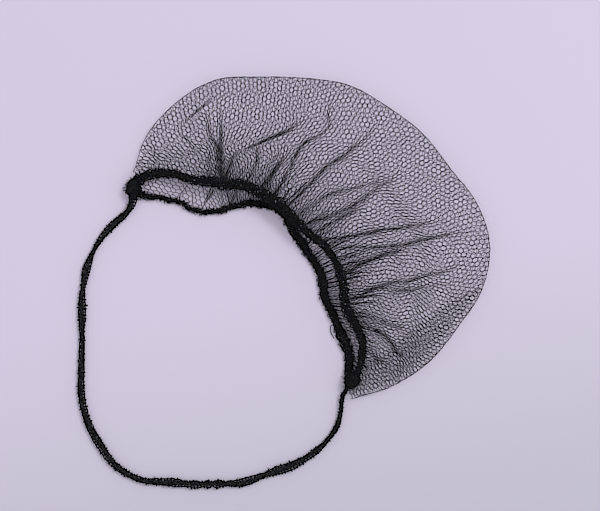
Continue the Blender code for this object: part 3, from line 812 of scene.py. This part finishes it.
def knitted_tube(line, half_width, half_height, around, stitch, bar_share, roll, seed):
    """Strands of a narrow knitted tube round a line of points. The number of strands is even."""
    length = along_line(line)
    columns = int(length[-1] / stitch)
    x, y, column, level = zigzag_strands(0, around, 0, columns, bar_share, 0.06)
    jitter = np.random.default_rng(seed).normal(0.0, 0.16, (2, around, columns + 1))
    row = level % around
    x = np.clip((x + jitter[0][row, column]) * stitch, 0.0, length[-1])
    angle = 2 * math.pi * (y + jitter[1][row, column]) / around + roll * np.sin(2 * math.pi * x / 0.035)
    uneven = 1.0 + 0.10 * smooth_noise(x, 0.007, seed + 5)
    wide, high = (np.interp(x, length, half) * uneven for half in (half_width, half_height))
    points = round_line(line, x, np.cos(angle) * wide, np.sin(angle) * high)
    return list(points.reshape(around, -1, 3))


def twisted_core(line, half_width, half_height, strands, pitch, seed):
    """Loosely twisted yarns that fill the middle of a band or a cord."""
    length = along_line(line)
    rng = np.random.default_rng(seed)
    runs = []
    for strand in range(strands):
        angle = 2 * math.pi * (length / pitch + strand / strands) + rng.uniform(-0.3, 0.3)
        angle = angle + 0.6 * smooth_noise(length, 0.02, seed + strand)
        runs.append(round_line(line, length, np.cos(angle) * half_width, np.sin(angle) * half_height))
    return runs


def stray_fibres(line, half_width, half_height, count, length, seed):
    """Short curled fibres that stand off a line of points, most of them at its two sides."""
    rng = np.random.default_rng(seed)
    side, up = line_frame(line)
    index = rng.integers(1, len(line) - 1, count)
    shift = rng.uniform(0, 1, count)[:, None]
    middle = line[index] * (1 - shift) + line[index + 1] * shift
    angle = rng.normal(0.0, 0.6, count) + math.pi * rng.integers(0, 2, count)
    outward = side[index] * np.cos(angle)[:, None] + up[index] * np.sin(angle)[:, None]
    roots = middle + side[index] * (np.cos(angle) * half_width[index])[:, None]
    roots = roots + up[index] * (np.sin(angle) * half_height[index])[:, None]
    steps = np.array((0.0, 0.35, 0.7, 1.0))[:, None]
    runs = []
    for root, way in zip(roots, outward):
        way = way + rng.normal(0.0, 1.0, 3) * 0.7
        way /= np.linalg.norm(way)
        curl = rng.normal(0.0, 0.45, 3)
        reach = length * rng.uniform(0.45, 1.3)
        runs.append(keep_up(root + way * reach * steps + curl * reach * steps ** 2, HAIR_HEIGHT))
    return runs


def yarn_loops(line, half_width, half_height, count, rise, spread, seed):
    """Small loops of yarn that stand off a band or a cord, from one place on it to the next."""
    rng = np.random.default_rng(seed)
    length = along_line(line)
    steps = np.linspace(-1.0, 1.0, 6)
    runs = []
    for place in rng.uniform(0.002, length[-1] - 0.002, count):
        along = place + steps * spread * rng.uniform(0.5, 1.2)
        angle = rng.normal(0.0, 0.8) + math.pi * rng.integers(0, 2) + 0.35 * steps
        bulge = rise * rng.uniform(0.2, 1.2) * (1 - steps ** 2)
        wide = np.interp(along, length, half_width) - ROOT_DEPTH + bulge
        high = np.interp(along, length, half_height) - ROOT_DEPTH + 0.6 * bulge
        run = round_line(line, along, np.cos(angle) * wide, np.sin(angle) * high)
        runs.append(keep_up(run, STRAY_HEIGHT))
    return runs


def rung_yarn(line, half_width, half_height, rung, seed):
    """A yarn that swings from side to side of a cord in close rungs, over it and under it by turns."""
    length = along_line(line)
    turns = int(length[-1] / (2 * rung))
    angle = np.linspace(0.0, 2 * math.pi * turns, turns * 12 + 1)
    along = angle / math.pi * rung + 0.25 * rung * smooth_noise(angle, 9.0, seed)
    along = np.clip(along, 0.0, length[-1])
    wide = np.interp(along, length, half_width) * (1.0 + 0.18 * smooth_noise(angle, 12.0, seed + 1))
    high = np.interp(along, length, half_height) * np.cos(angle)
    return round_line(line, along, wide * np.sin(angle), high)


def side_chain(line, offset, seed):
    """A chain of yarn that runs along a cord at an offset from its middle."""
    sway = 0.0002 * smooth_noise(along_line(line), 0.004, seed)
    return line + line_frame(line)[0] * (offset + sway)[:, None]


def knot_middle(name):
    knot = KNOTS[name]
    return np.array((knot["along"] * MOUTH_SPAN, knot["rise"] * POUCH_DEPTH, KNOT_HEIGHT / 2))


def knot_way(name):
    """The way in which the head loop leaves a knot."""
    heading = math.radians(KNOTS[name]["heading"])
    return np.array((math.cos(heading), math.sin(heading), 0.0))


def knot_exit(name):
    """Where the head loop starts, a clearance off the end of its knot."""
    return knot_middle(name) + knot_way(name) * (KNOT_LENGTH / 2 + CLEARANCE)


def knot_girth(share):
    """A knot's girth at shares of its half length: it is lens shaped, with pointed ends."""
    return (1.0 - share ** 2) ** 0.8


def knot_body(name):
    """A knot's middle line, with its half width and half height along it."""
    share = np.linspace(-0.9, 0.9, 30)
    line = knot_middle(name) + knot_way(name) * (share * KNOT_LENGTH / 2)[:, None]
    return line, KNOT_WIDTH / 2 * knot_girth(share), KNOT_HEIGHT / 2 * knot_girth(share)


def wound_knot(name, turns, yarn, seed):
    """Yarn wound round a knot in three layers, one straight and two slanting."""
    way = knot_way(name)
    side = np.array((-way[1], way[0], 0.0))
    up = np.array((0.0, 0.0, 1.0))
    angle = np.linspace(0.0, 2 * math.pi * turns, turns * 22)
    runs = []
    for layer, (slant, grow) in enumerate(((0.0, 0.90), (0.9, 1.0), (-1.1, 1.0))):
        travel = np.linspace(-0.80, 0.80, len(angle)) + 0.06 * smooth_noise(angle, 5.0, seed + layer)
        travel = np.clip(travel + slant * 0.35 * np.sin(angle), -0.93, 0.93)
        girth = knot_girth(travel) * grow + 0.12 * smooth_noise(angle, 3.0, seed + 9 + layer)
        wide = (KNOT_WIDTH / 2 - yarn) * girth
        high = (KNOT_HEIGHT / 2 - yarn) * girth
        run = knot_middle(name) + way * (travel * (KNOT_LENGTH / 2 - yarn))[:, None]
        run = run + side * (np.cos(angle) * wide)[:, None] + up * (np.sin(angle) * high)[:, None]
        runs.append(keep_up(run, yarn))
    return runs


def add_knot_core(piece, name):
    """Adds a knot's solid heart, a fat barrel, to its piece."""
    core = bmesh.new()
    bmesh.ops.create_uvsphere(core, u_segments=20, v_segments=12, radius=0.5)
    size = Vector((KNOT_WIDTH, KNOT_HEIGHT, KNOT_LENGTH)) * 0.60
    bmesh.ops.scale(core, vec=size, verts=core.verts)
    lay_down = Matrix.Rotation(math.pi / 2, 4, "X")
    turn = Matrix.Rotation(math.radians(KNOTS[name]["heading"]) - math.pi / 2, 4, "Z")
    place = Matrix.Translation(to_frame(knot_middle(name))) @ turn @ lay_down
    bmesh.ops.transform(core, matrix=place, verts=core.verts)
    core.from_mesh(piece.data)
    core.to_mesh(piece.data)
    core.free()
    piece.data.shade_smooth()


def loop_line(points):
    """The head loop's route, on a smooth curve from knot to knot."""
    route = [knot_exit("corner_knot_left"), *LOOP_ROUTE, knot_exit("corner_knot_right")]
    return read_rows(route, np.linspace(0.0, 1.0, points))


def reach_into_knots(line, points):
    """Runs a line on at both ends, to near the middles of the knots."""
    share = np.linspace(0.25, 1.0, points, endpoint=False)[:, None]
    start = knot_middle("corner_knot_left") * (1 - share) + line[0] * share
    end = knot_middle("corner_knot_right") * (1 - share) + line[-1] * share
    return np.vstack((start, line, end[::-1]))


def band_line(layer, points):
    """A band's middle line, from the middle of one knot to the middle of the other."""
    share = np.linspace(0.0, 1.0, points)
    line = band_middle(layer, share)
    for name, away in (("corner_knot_left", share), ("corner_knot_right", 1 - share)):
        pull = smooth_step(1 - away / 0.03)[:, None]
        line = line * (1 - pull) + knot_middle(name) * pull
    return line


def yarn_mottle_group():
    """Node group of uneven dye and lint on yarn: a mask and a bump height, read from the piece's place."""
    name = "Yarn mottle"
    if name in bpy.data.node_groups:
        return bpy.data.node_groups[name]
    group = bpy.data.node_groups.new(name, "ShaderNodeTree")
    place = group.interface.new_socket("Place", in_out="INPUT", socket_type="NodeSocketVector")
    place.description = "Place on the piece"
    nodes, links = group.nodes, group.links
    inside = nodes.new("NodeGroupInput")
    outside = nodes.new("NodeGroupOutput")
    for label, scale, detail, roughness in (("Mottle", 900.0, 3.0, 0.5), ("Fibres", 9000.0, 2.0, 0.7)):
        size = group.interface.new_socket(label + " size", in_out="INPUT", socket_type="NodeSocketFloat")
        size.default_value = scale
        group.interface.new_socket(label, in_out="OUTPUT", socket_type="NodeSocketFloat")
        noise = nodes.new("ShaderNodeTexNoise")
        noise.inputs["Detail"].default_value = detail
        noise.inputs["Roughness"].default_value = roughness
        links.new(inside.outputs["Place"], noise.inputs["Vector"])
        links.new(inside.outputs[label + " size"], noise.inputs["Scale"])
        links.new(noise.outputs["Fac"], outside.inputs[label])
    return group


def dull_material(name, roughness):
    """A material with little shine, and its nodes, links and shader."""
    material = bpy.data.materials.new(name)
    material.use_nodes = True
    nodes, links = material.node_tree.nodes, material.node_tree.links
    shader = nodes["Principled BSDF"]
    shader.inputs["Roughness"].default_value = roughness
    shader.inputs["Specular IOR Level"].default_value = 0.15
    return material, nodes, links, shader


def yarn_material(name, colour, lint, roughness, mottle_size, bump):
    """A dyed yarn or thread, darker and lighter in patches, with fine fibres."""
    material, nodes, links, shader = dull_material(name, roughness)
    place = nodes.new("ShaderNodeTexCoord")
    yarn = nodes.new("ShaderNodeGroup")
    yarn.node_tree = yarn_mottle_group()
    yarn.inputs["Mottle size"].default_value = mottle_size
    ramp = nodes.new("ShaderNodeValToRGB")
    for element, position, shade in zip(ramp.color_ramp.elements, PATCH_RANGE, (colour, lint)):
        element.position = position
        element.color = (*shade, 1.0)
    relief = nodes.new("ShaderNodeBump")
    relief.inputs["Strength"].default_value = bump
    relief.inputs["Distance"].default_value = BUMP_DEPTH
    links.new(place.outputs["Object"], yarn.inputs["Place"])
    links.new(yarn.outputs["Mottle"], ramp.inputs["Fac"])
    links.new(ramp.outputs["Color"], shader.inputs["Base Color"])
    links.new(yarn.outputs["Fibres"], relief.inputs["Height"])
    links.new(relief.outputs["Normal"], shader.inputs["Normal"])
    return material


def length_setting(name, default, description):
    """A length that a user may change, in metres."""
    return FloatProperty(name=name, description=description, default=default, unit="LENGTH", precision=5)


def number_setting(name, default, description):
    """A plain number that a user may change."""
    return FloatProperty(name=name, description=description, default=default, precision=3)


def colour_setting(name, default, description):
    """A colour that a user may change."""
    return FloatVectorProperty(name=name, description=description, default=default, subtype="COLOR")


class NetSettings(PropertyGroup):
    """Sizes of the knitted net and of its folds."""

    thread: length_setting("Thread", 0.000211, "Thickness of the net's thread")
    slack: number_setting(
        "Slack", 1.25, "Thickness of the lower layer's slack thread, against the upper one's",
    )
    pillar: length_setting("Pillar", 0.000294, "Thickness of the threads along the cells' sides")
    cell_width: length_setting("Cell width", 0.00250, "Distance between columns of cells")
    cell_height: length_setting("Cell height", 0.00315, "Distance between cells of one column")
    bar_length: length_setting("Bar", 0.0017, "Length over which two strands lie side by side")
    joint_slip: length_setting("Joint slip", 0.00017, "How far a joint lies out of line")
    turn: number_setting("Turn", 8.0, "Turn of each layer's net in degrees, to opposite sides")
    tuck_turn: number_setting("Turn of the tuck", 38.0, "Turn of the net in the tuck, in degrees")
    drift: length_setting("Drift", 0.0005, "How far whole stretches of net lie out of line")
    ripple: length_setting("Ripple", 0.0004, "Height of soft ripples in the net")
    band_tightness: number_setting(
        "Tightness at the bands", 1.06, "How much the net is drawn together between its folds",
    )
    band_heft: number_setting("Heft at the bands", 0.75, "How much thicker slack thread lies at the bands")
    edge_stretch: number_setting(
        "Stretch at the edge", 0.93, "Net on each length of the outer fold, as a share of it",
    )
    fold_reach: length_setting("Fold reach", 0.010, "How far to each side a fold draws up net")
    loose_share: number_setting(
        "Loose share", 0.035, "Pull of the net that is gathered evenly, against a full fold",
    )
    fold_width: length_setting("Fold width", 0.0011, "Width of a standing fold in plan")
    fold_skirt: number_setting(
        "Fold skirt", 0.30, "Net drawn up loosely round a fold's core, against the core",
    )
    fold_draw: length_setting("Fold draw", 0.0016, "Net that a full fold draws in from its own sides")
    fold_sides: length_setting("Fold sides", 0.009, "Width from which a fold draws in net")
    fold_wander: length_setting("Fold wander", 0.0006, "How far a fold strays from its line")
    fold_rise: number_setting("Fold rise", 0.30, "Height of a fold as a share of the net that it takes up")
    small_folds: IntProperty(name="Small folds", description="Short gathers along each band", default=70)
    colour: colour_setting("Colour", (0.012, 0.012, 0.015), "Dyed nylon thread")
    lint: colour_setting("Worn colour", (0.035, 0.035, 0.040), "Lighter patches of the thread")


class YarnSettings(PropertyGroup):
    """Sizes and colours of the bands, the knots and the head loop."""

    band_yarn: length_setting("Band yarn", 0.00085, "Thickness of the bands' yarn")
    loop_yarn: length_setting("Loop yarn", 0.00074, "Thickness of the head loop's yarn")
    side_yarn: length_setting(
        "Side yarn", 0.00072, "Thickness of the yarn that forms the head loop's rungs and sides",
    )
    rung: length_setting("Rung", 0.00095, "Distance between the head loop's rungs")
    knot_yarn: length_setting("Knot yarn", 0.0014, "Thickness of the yarn wound round the knots")
    stitch: length_setting("Stitch", 0.0018, "Length of a stitch in the head loop")
    band_stitch: length_setting("Band stitch", 0.0015, "Length of a stitch in the bands")
    fibre: length_setting("Fibre", 0.0012, "Length of the loose fibres")
    fibre_radius: length_setting("Fibre radius", 0.00006, "Half the thickness of the bands' loose fibres")
    colour: colour_setting("Colour", (0.0035, 0.0035, 0.0045), "Dyed yarn")
    lint: colour_setting("Lint colour", (0.0160, 0.0160, 0.0185), "Lighter fibres of the yarn")
    loop_lightness: number_setting("Loop lightness", 2.2, "Lint on the head loop, against the rest's")


class StageSettings(PropertyGroup):
    """Surface, light and camera."""

    floor_colour: colour_setting("Surface", (0.668, 0.612, 0.742), "Pale surface under the net")
    air_colour: colour_setting("Air", (0.95, 0.95, 1.0), "Light from all round")
    air_strength: number_setting("Air strength", 0.78, "Strength of the light all round")
    key_power: FloatProperty(
        name="Key light", description="Power of the soft light", default=32.0, unit="POWER",
    )
    sharpening: number_setting("Sharpening", 0.076, "The camera's own sharpening")
    camera_distance: length_setting("Camera distance", 1.6, "Height of the camera over the surface")


def settings(name):
    return getattr(bpy.context.scene, name)


def small_gathers(count, seed):
    """Short folds along a band, spaced unevenly."""
    rng = np.random.default_rng(seed)
    first, last = 0.03, 0.97
    gathers = []
    for step in range(count):
        share = first + (last - first) * (step + rng.uniform(0.2, 0.8)) / count
        reach = rng.uniform(0.08, 0.30)
        lean = rng.uniform(-0.008, 0.008)
        strength, width = rng.uniform(0.10, 0.45), rng.uniform(0.40, 0.65)
        gathers.append(((strength,) * 3, width, 0.0, ((share, 0.0), (share + lean, reach))))
    return gathers


def black_yarn(name, lightness=1.0):
    """The black yarn's material, with its lint made lighter on a worn piece."""
    yarn = settings("beard_net_yarn")
    return yarn_material(name, yarn.colour, [lightness * part for part in yarn.lint], 0.9, 900.0, 0.6)


class BEARDNET_OT_stage(Operator):
    """Make the pale surface, the soft light and the camera that looks straight down"""

    bl_idname = "beard_net.stage"
    bl_label = "Stage"

    def execute(self, context):
        stage = settings("beard_net_stage")
        right = Vector((math.cos(PICTURE_TURN), math.sin(PICTURE_TURN), 0.0))
        up = Vector((-right.y, right.x, 0.0))
        across = (PICTURE[0] / 2 - CORNER_PIXEL[0]) * PIXEL
        rise = (CORNER_PIXEL[1] - PICTURE[1] / 2) * PIXEL
        middle = Vector(MOUTH_CORNER) + right * across + up * rise
        self.make_camera(context.scene, stage, middle)
        self.make_floor(stage, middle)
        self.make_light(context.scene, stage, middle, right, up)
        self.make_crisp(context.scene, stage)
        context.scene.view_settings.view_transform = "Standard"
        context.scene.view_settings.look = "None"
        return {"FINISHED"}

    def make_camera(self, scene, stage, middle):
        camera = bpy.data.cameras.new("Camera")
        camera.sensor_width = 36.0
        camera.lens = camera.sensor_width * stage.camera_distance / (PICTURE[0] * PIXEL)
        scene.camera = add_object("Camera", camera)
        scene.camera.location = middle + Vector((0.0, 0.0, stage.camera_distance))
        scene.camera.rotation_euler = (0.0, 0.0, PICTURE_TURN)

    def make_floor(self, stage, middle):
        """A wide flat surface, a little below the part. Painted shade, which stands in for the light's
        falloff, darkens it to one corner of the picture.
        """
        flat = bmesh.new()
        bmesh.ops.create_grid(flat, x_segments=1, y_segments=1, size=3.0)
        bmesh.ops.translate(flat, verts=flat.verts, vec=Vector((middle.x, middle.y, -0.0001)))
        mesh = bpy.data.meshes.new("surface")
        flat.to_mesh(mesh)
        flat.free()
        material, nodes, links, shader = dull_material("Pale surface", 0.9)
        place = nodes.new("ShaderNodeTexCoord")
        turn = nodes.new("ShaderNodeVectorRotate")
        turn.rotation_type = "Z_AXIS"
        turn.inputs["Center"].default_value = middle
        turn.inputs["Angle"].default_value = -PICTURE_TURN - FLOOR_TURN
        apart = nodes.new("ShaderNodeSeparateXYZ")
        rise = nodes.new("ShaderNodeMapRange")
        rise.inputs["From Min"].default_value = middle.y - FLOOR_DARK
        rise.inputs["From Max"].default_value = middle.y + FLOOR_LIGHT
        ramp = nodes.new("ShaderNodeValToRGB")
        ramp.color_ramp.interpolation = "EASE"
        dark, light = ramp.color_ramp.elements
        # Painted shade: the dark end of the ramp stands in for the light falling off towards the lower right
        dark.color = (*[part * share for part, share in zip(stage.floor_colour, FLOOR_PAINTED_SHADE)], 1.0)
        light.color = (*stage.floor_colour, 1.0)
        light.position = 0.6
        links.new(place.outputs["Object"], turn.inputs["Vector"])
        links.new(turn.outputs["Vector"], apart.inputs["Vector"])
        links.new(apart.outputs["Y"], rise.inputs["Value"])
        links.new(rise.outputs["Result"], ramp.inputs["Fac"])
        links.new(ramp.outputs["Color"], shader.inputs["Base Color"])
        mesh.materials.append(material)
        add_object("surface", mesh)

    def make_light(self, scene, stage, middle, right, up):
        world = bpy.data.worlds.new("Air")
        world.use_nodes = True
        air = world.node_tree.nodes["Background"]
        air.inputs["Color"].default_value = (*stage.air_colour, 1.0)
        air.inputs["Strength"].default_value = stage.air_strength
        scene.world = world
        light = bpy.data.lights.new("Soft light", "AREA")
        light.shape = "DISK"
        light.size = 1.0
        light.energy = stage.key_power
        lamp = add_object("Soft light", light)
        across, rise, height = LIGHT_PLACE
        lamp.location = middle + right * across + up * rise + Vector((0.0, 0.0, height))
        lamp.rotation_euler = (middle - lamp.location).to_track_quat("-Z", "Y").to_euler()

    def make_crisp(self, scene, stage):
        """The camera's own sharpening of the finished picture."""
        scene.use_nodes = True
        nodes, links = scene.node_tree.nodes, scene.node_tree.links
        nodes.clear()
        picture = nodes.new("CompositorNodeRLayers")
        sharpen = nodes.new("CompositorNodeFilter")
        sharpen.filter_type = "SHARPEN"
        sharpen.inputs["Fac"].default_value = stage.sharpening
        finished = nodes.new("CompositorNodeComposite")
        links.new(picture.outputs["Image"], sharpen.inputs["Image"])
        links.new(sharpen.outputs["Image"], finished.inputs["Image"])


class BEARDNET_OT_head_loop(Operator):
    """Knit the narrow elastic loop that goes round the head"""

    bl_idname = "beard_net.head_loop"
    bl_label = "Head loop"

    def execute(self, context):
        yarn = settings("beard_net_yarn")
        material = black_yarn("Loop elastic", yarn.loop_lightness)
        radius = yarn.loop_yarn / 2
        line = reach_into_knots(loop_line(420), 6)
        length = along_line(line)
        share = length / length[-1]
        width = np.interp(share, *zip(*LOOP_WIDTHS))
        half_width = width / 2 - radius
        half_height = np.clip(CORD_DIAMETER * 1.05 - width, LOOP_THINNEST, CORD_DIAMETER) / 2 - radius
        line[:, 2] = np.maximum(line[:, 2] - LOOP_SINK, half_height + radius)
        swing = HEART_SWING * half_width * np.cos(2 * math.pi * length / HEART_WAVE + HEART_START)
        heart = line + line_frame(line)[0] * swing[:, None]
        heart_share = np.interp(share, *zip(*HEART_SHARES))
        runs = knitted_tube(
            heart, half_width * heart_share, half_height, around=6, stitch=yarn.stitch, bar_share=0.45,
            roll=0.5, seed=SEED,
        )
        runs += twisted_core(
            heart, half_width * 0.15, half_height * 0.3, strands=2, pitch=0.017, seed=SEED + 1,
        )
        loop = thread_piece("knitted_head_loop", runs, radius, material, "loop_elastic", "head_loop", sides=6)
        wide, high = half_width + radius, half_height + radius
        runs = [rung_yarn(line, wide - RUNG_INSET, half_height, yarn.rung, SEED + 6)]
        for number, way in enumerate((-1.0, 1.0)):
            runs.append(side_chain(line, way * np.maximum(wide - CHAIN_INSET, 0.0), SEED + 8 + number))
        runs = [keep_up(run, yarn.side_yarn / 2) for run in runs]
        sides = thread_piece("loop_side_yarns", runs, yarn.side_yarn / 2, material, "loop_elastic")
        runs = yarn_loops(line, wide, high, count=100, rise=0.0007, spread=0.0007, seed=SEED + 3)
        wide, high = wide - ROOT_DEPTH, high - ROOT_DEPTH
        runs += stray_fibres(line, wide, high, count=320, length=0.0010, seed=SEED + 2)
        fuzz = thread_piece("loop_fibres", runs, 0.00010, material, "loop_elastic", taper=THIN_END)
        tuple(to_frame(knot_exit("corner_knot_left")))
        [tuple(point) for point in to_frame(line)]
        return {"FINISHED"}


class BEARDNET_OT_net(Operator):
    """Knit the two layers of the pouch, the tuck between them and the thread round the outer fold"""

    bl_idname = "beard_net.net"
    bl_label = "Net pouch"

    def execute(self, context):
        net = settings("beard_net_sheet")
        material = yarn_material("Net thread", net.colour, net.lint, 0.5, 500.0, 0.3)
        layers = (("upper", 1.0, ()), ("lower", LOWER_SOFTNESS, LOWER_CREASES))
        for number, (layer, softness, creases) in enumerate(layers):
            folds = [(strength, width * softness, net.fold_skirt, line) for strength, width, line in FOLDS]
            folds += [(strength, width, net.fold_skirt, line) for strength, width, line in creases]
            folds += small_gathers(net.small_folds, SEED + number)
            sheet = LyingLayer(layer, folds, net)
            runs, pillars = knit_layer(sheet, net, sheet.turn, SEED + 10 * number, whole_region)
            runs.append(sheet.outline(700, SEED + 60 + number))
            self.add_threads("knitted_net_" + layer, runs, pillars, net, material, "net_" + layer + "_layer")
        # The tuck is knitted like the lower layer, which comes last, and lies flat between the two
        turn = math.radians(net.tuck_turn)
        runs, pillars = knit_layer(sheet, net, turn, SEED + 40, tuck_region(sheet), TUCK_HEIGHT)
        self.add_threads("net_tuck", runs, pillars, net, material)
        return {"FINISHED"}

    def add_threads(self, name, runs, pillars, net, material, *nodes):
        """A piece of a layer's strands, which stands for the nodes, and a piece of its pillars."""
        slack = net.slack if name.endswith("lower") else 1.0
        thread_piece(name, runs, slack * net.thread / 2, material, "net_thread", *nodes)
        thread_piece(name + "_pillars", pillars, slack * net.pillar / 2, material, "net_thread")


class BEARDNET_OT_bands(Operator):
    """Knit the two elastic bands that gather the net round the mouth"""

    bl_idname = "beard_net.bands"
    bl_label = "Mouth bands"

    def execute(self, context):
        yarn = settings("beard_net_yarn")
        material = black_yarn("Rim yarn")
        radius = yarn.band_yarn / 2
        for number, (layer, thickness) in enumerate(BAND_THICKNESS.items()):
            name = "rim_band_" + layer
            seed = SEED + 80 + 5 * number
            line = band_line(layer, 300)
            length = along_line(line)
            share = np.linspace(0.0, 1.0, len(line))
            rows = np.array(BAND_WIDTHS[layer])
            width, offset = read_line(share, rows[:, 0], rows[:, 1:]).T
            width = width * (1.0 + BAND_UNEVEN * smooth_noise(length, BAND_UNEVEN_WAVE, seed))
            offset = offset + BAND_SWAY * smooth_noise(length, BAND_SWAY_WAVE, seed + 9)
            line = line + line_frame(line)[0] * offset[:, None]
            half_width = width / 2 - radius
            half_height = np.minimum(width, thickness) / 2 - radius
            line[:, 2] = np.maximum(line[:, 2], half_height + radius)
            runs = knitted_tube(
                line, half_width, half_height, around=8, stitch=yarn.band_stitch, bar_share=0.5, roll=0.8,
                seed=seed + 1,
            )
            runs += twisted_core(
                line, half_width * 0.55, half_height * 0.5, strands=7, pitch=0.013, seed=seed + 2,
            )
            runs = [keep_up(run, radius) for run in runs]
            taper = BAND_YARN_SHARES[layer]
            thread_piece("knitted_" + name, runs, radius, material, "rim_yarn", name, sides=6, taper=taper)
            wide, high = width / 2, half_height + radius
            loops = yarn_loops(line, wide, high, count=420, rise=0.0011, spread=0.0008, seed=seed + 3)
            edge = rung_yarn(line, wide + 0.0003, half_height, rung=0.0012, seed=seed + 7)
            loops.append(keep_up(edge, STRAY_HEIGHT))
            loops += stray_fibres(line, wide - 0.0003, high - 0.0003, count=620, length=0.0011, seed=seed + 4)
            wide, high = wide - ROOT_DEPTH, high - ROOT_DEPTH
            hairs = stray_fibres(line, wide, high, count=600, length=yarn.fibre, seed=seed + 5)
            thread_piece(name + "_loops", loops, 0.00015, material, "rim_yarn", taper=THIN_END)
            thread_piece(name + "_fibres", hairs, yarn.fibre_radius, material, "rim_yarn", taper=THIN_END)
        return {"FINISHED"}


class BEARDNET_OT_knots(Operator):
    """Wind the knots at the two corners of the mouth, and add the loose thread ends"""

    bl_idname = "beard_net.knots"
    bl_label = "Corner knots"

    def execute(self, context):
        yarn = settings("beard_net_yarn")
        material = black_yarn("Knot yarn")
        radius = yarn.knot_yarn / 2
        for number, name in enumerate(KNOTS):
            seed = SEED + 100 + 20 * number
            runs = wound_knot(name, turns=6, yarn=radius, seed=seed)
            piece = thread_piece("wound_" + name, runs, radius, material, "knot_yarn", name, sides=6)
            add_knot_core(piece, name)
            line, half_width, half_height = knot_body(name)
            runs = yarn_loops(
                line, half_width, half_height, count=70, rise=0.0013, spread=0.0012, seed=seed + 15,
            )
            runs += stray_fibres(
                line, half_width - 0.0006, half_height - 0.0006, count=220, length=0.0016, seed=seed + 16,
            )
            thread_piece(name + "_fibres", runs, 0.00018, material, "knot_yarn", taper=THIN_END)
        runs = [read_rows(route, np.linspace(0.0, 1.0, 14)) for route in LOOSE_THREADS]
        thread_piece("loose_thread_ends", runs, 0.00022, material, "knot_yarn")
        return {"FINISHED"}


class BEARDNET_PT_panel(Panel):
    """Buttons and settings of the beard net"""

    bl_idname = "BEARDNET_PT_panel"
    bl_label = "Beard net"
    bl_space_type = "VIEW_3D"
    bl_region_type = "UI"
    bl_category = "Beard net"

    def draw(self, context):
        for operator in OPERATORS:
            self.layout.operator(operator.bl_idname)
        for name, group in GROUPS.items():
            box = self.layout.box()
            box.label(text=group.__doc__)
            for label in group.__annotations__:
                box.prop(getattr(context.scene, name), label)


OPERATORS = (
    BEARDNET_OT_stage,
    BEARDNET_OT_head_loop,
    BEARDNET_OT_net,
    BEARDNET_OT_bands,
    BEARDNET_OT_knots,
)
GROUPS = {
    "beard_net_sheet": NetSettings,
    "beard_net_yarn": YarnSettings,
    "beard_net_stage": StageSettings,
}
CLASSES = (*GROUPS.values(), *OPERATORS, BEARDNET_PT_panel)


def register():
    for item in CLASSES:
        bpy.utils.register_class(item)
    for name, group in GROUPS.items():
        setattr(bpy.types.Scene, name, PointerProperty(type=group))


def unregister():
    for name in GROUPS:
        delattr(bpy.types.Scene, name)
    for item in reversed(CLASSES):
        bpy.utils.unregister_class(item)


def main():
    register()
    bpy.ops.beard_net.stage()
    bpy.ops.beard_net.head_loop()
    bpy.ops.beard_net.net()
    bpy.ops.beard_net.bands()
    bpy.ops.beard_net.knots()


if __name__ == "__main__":
    main()
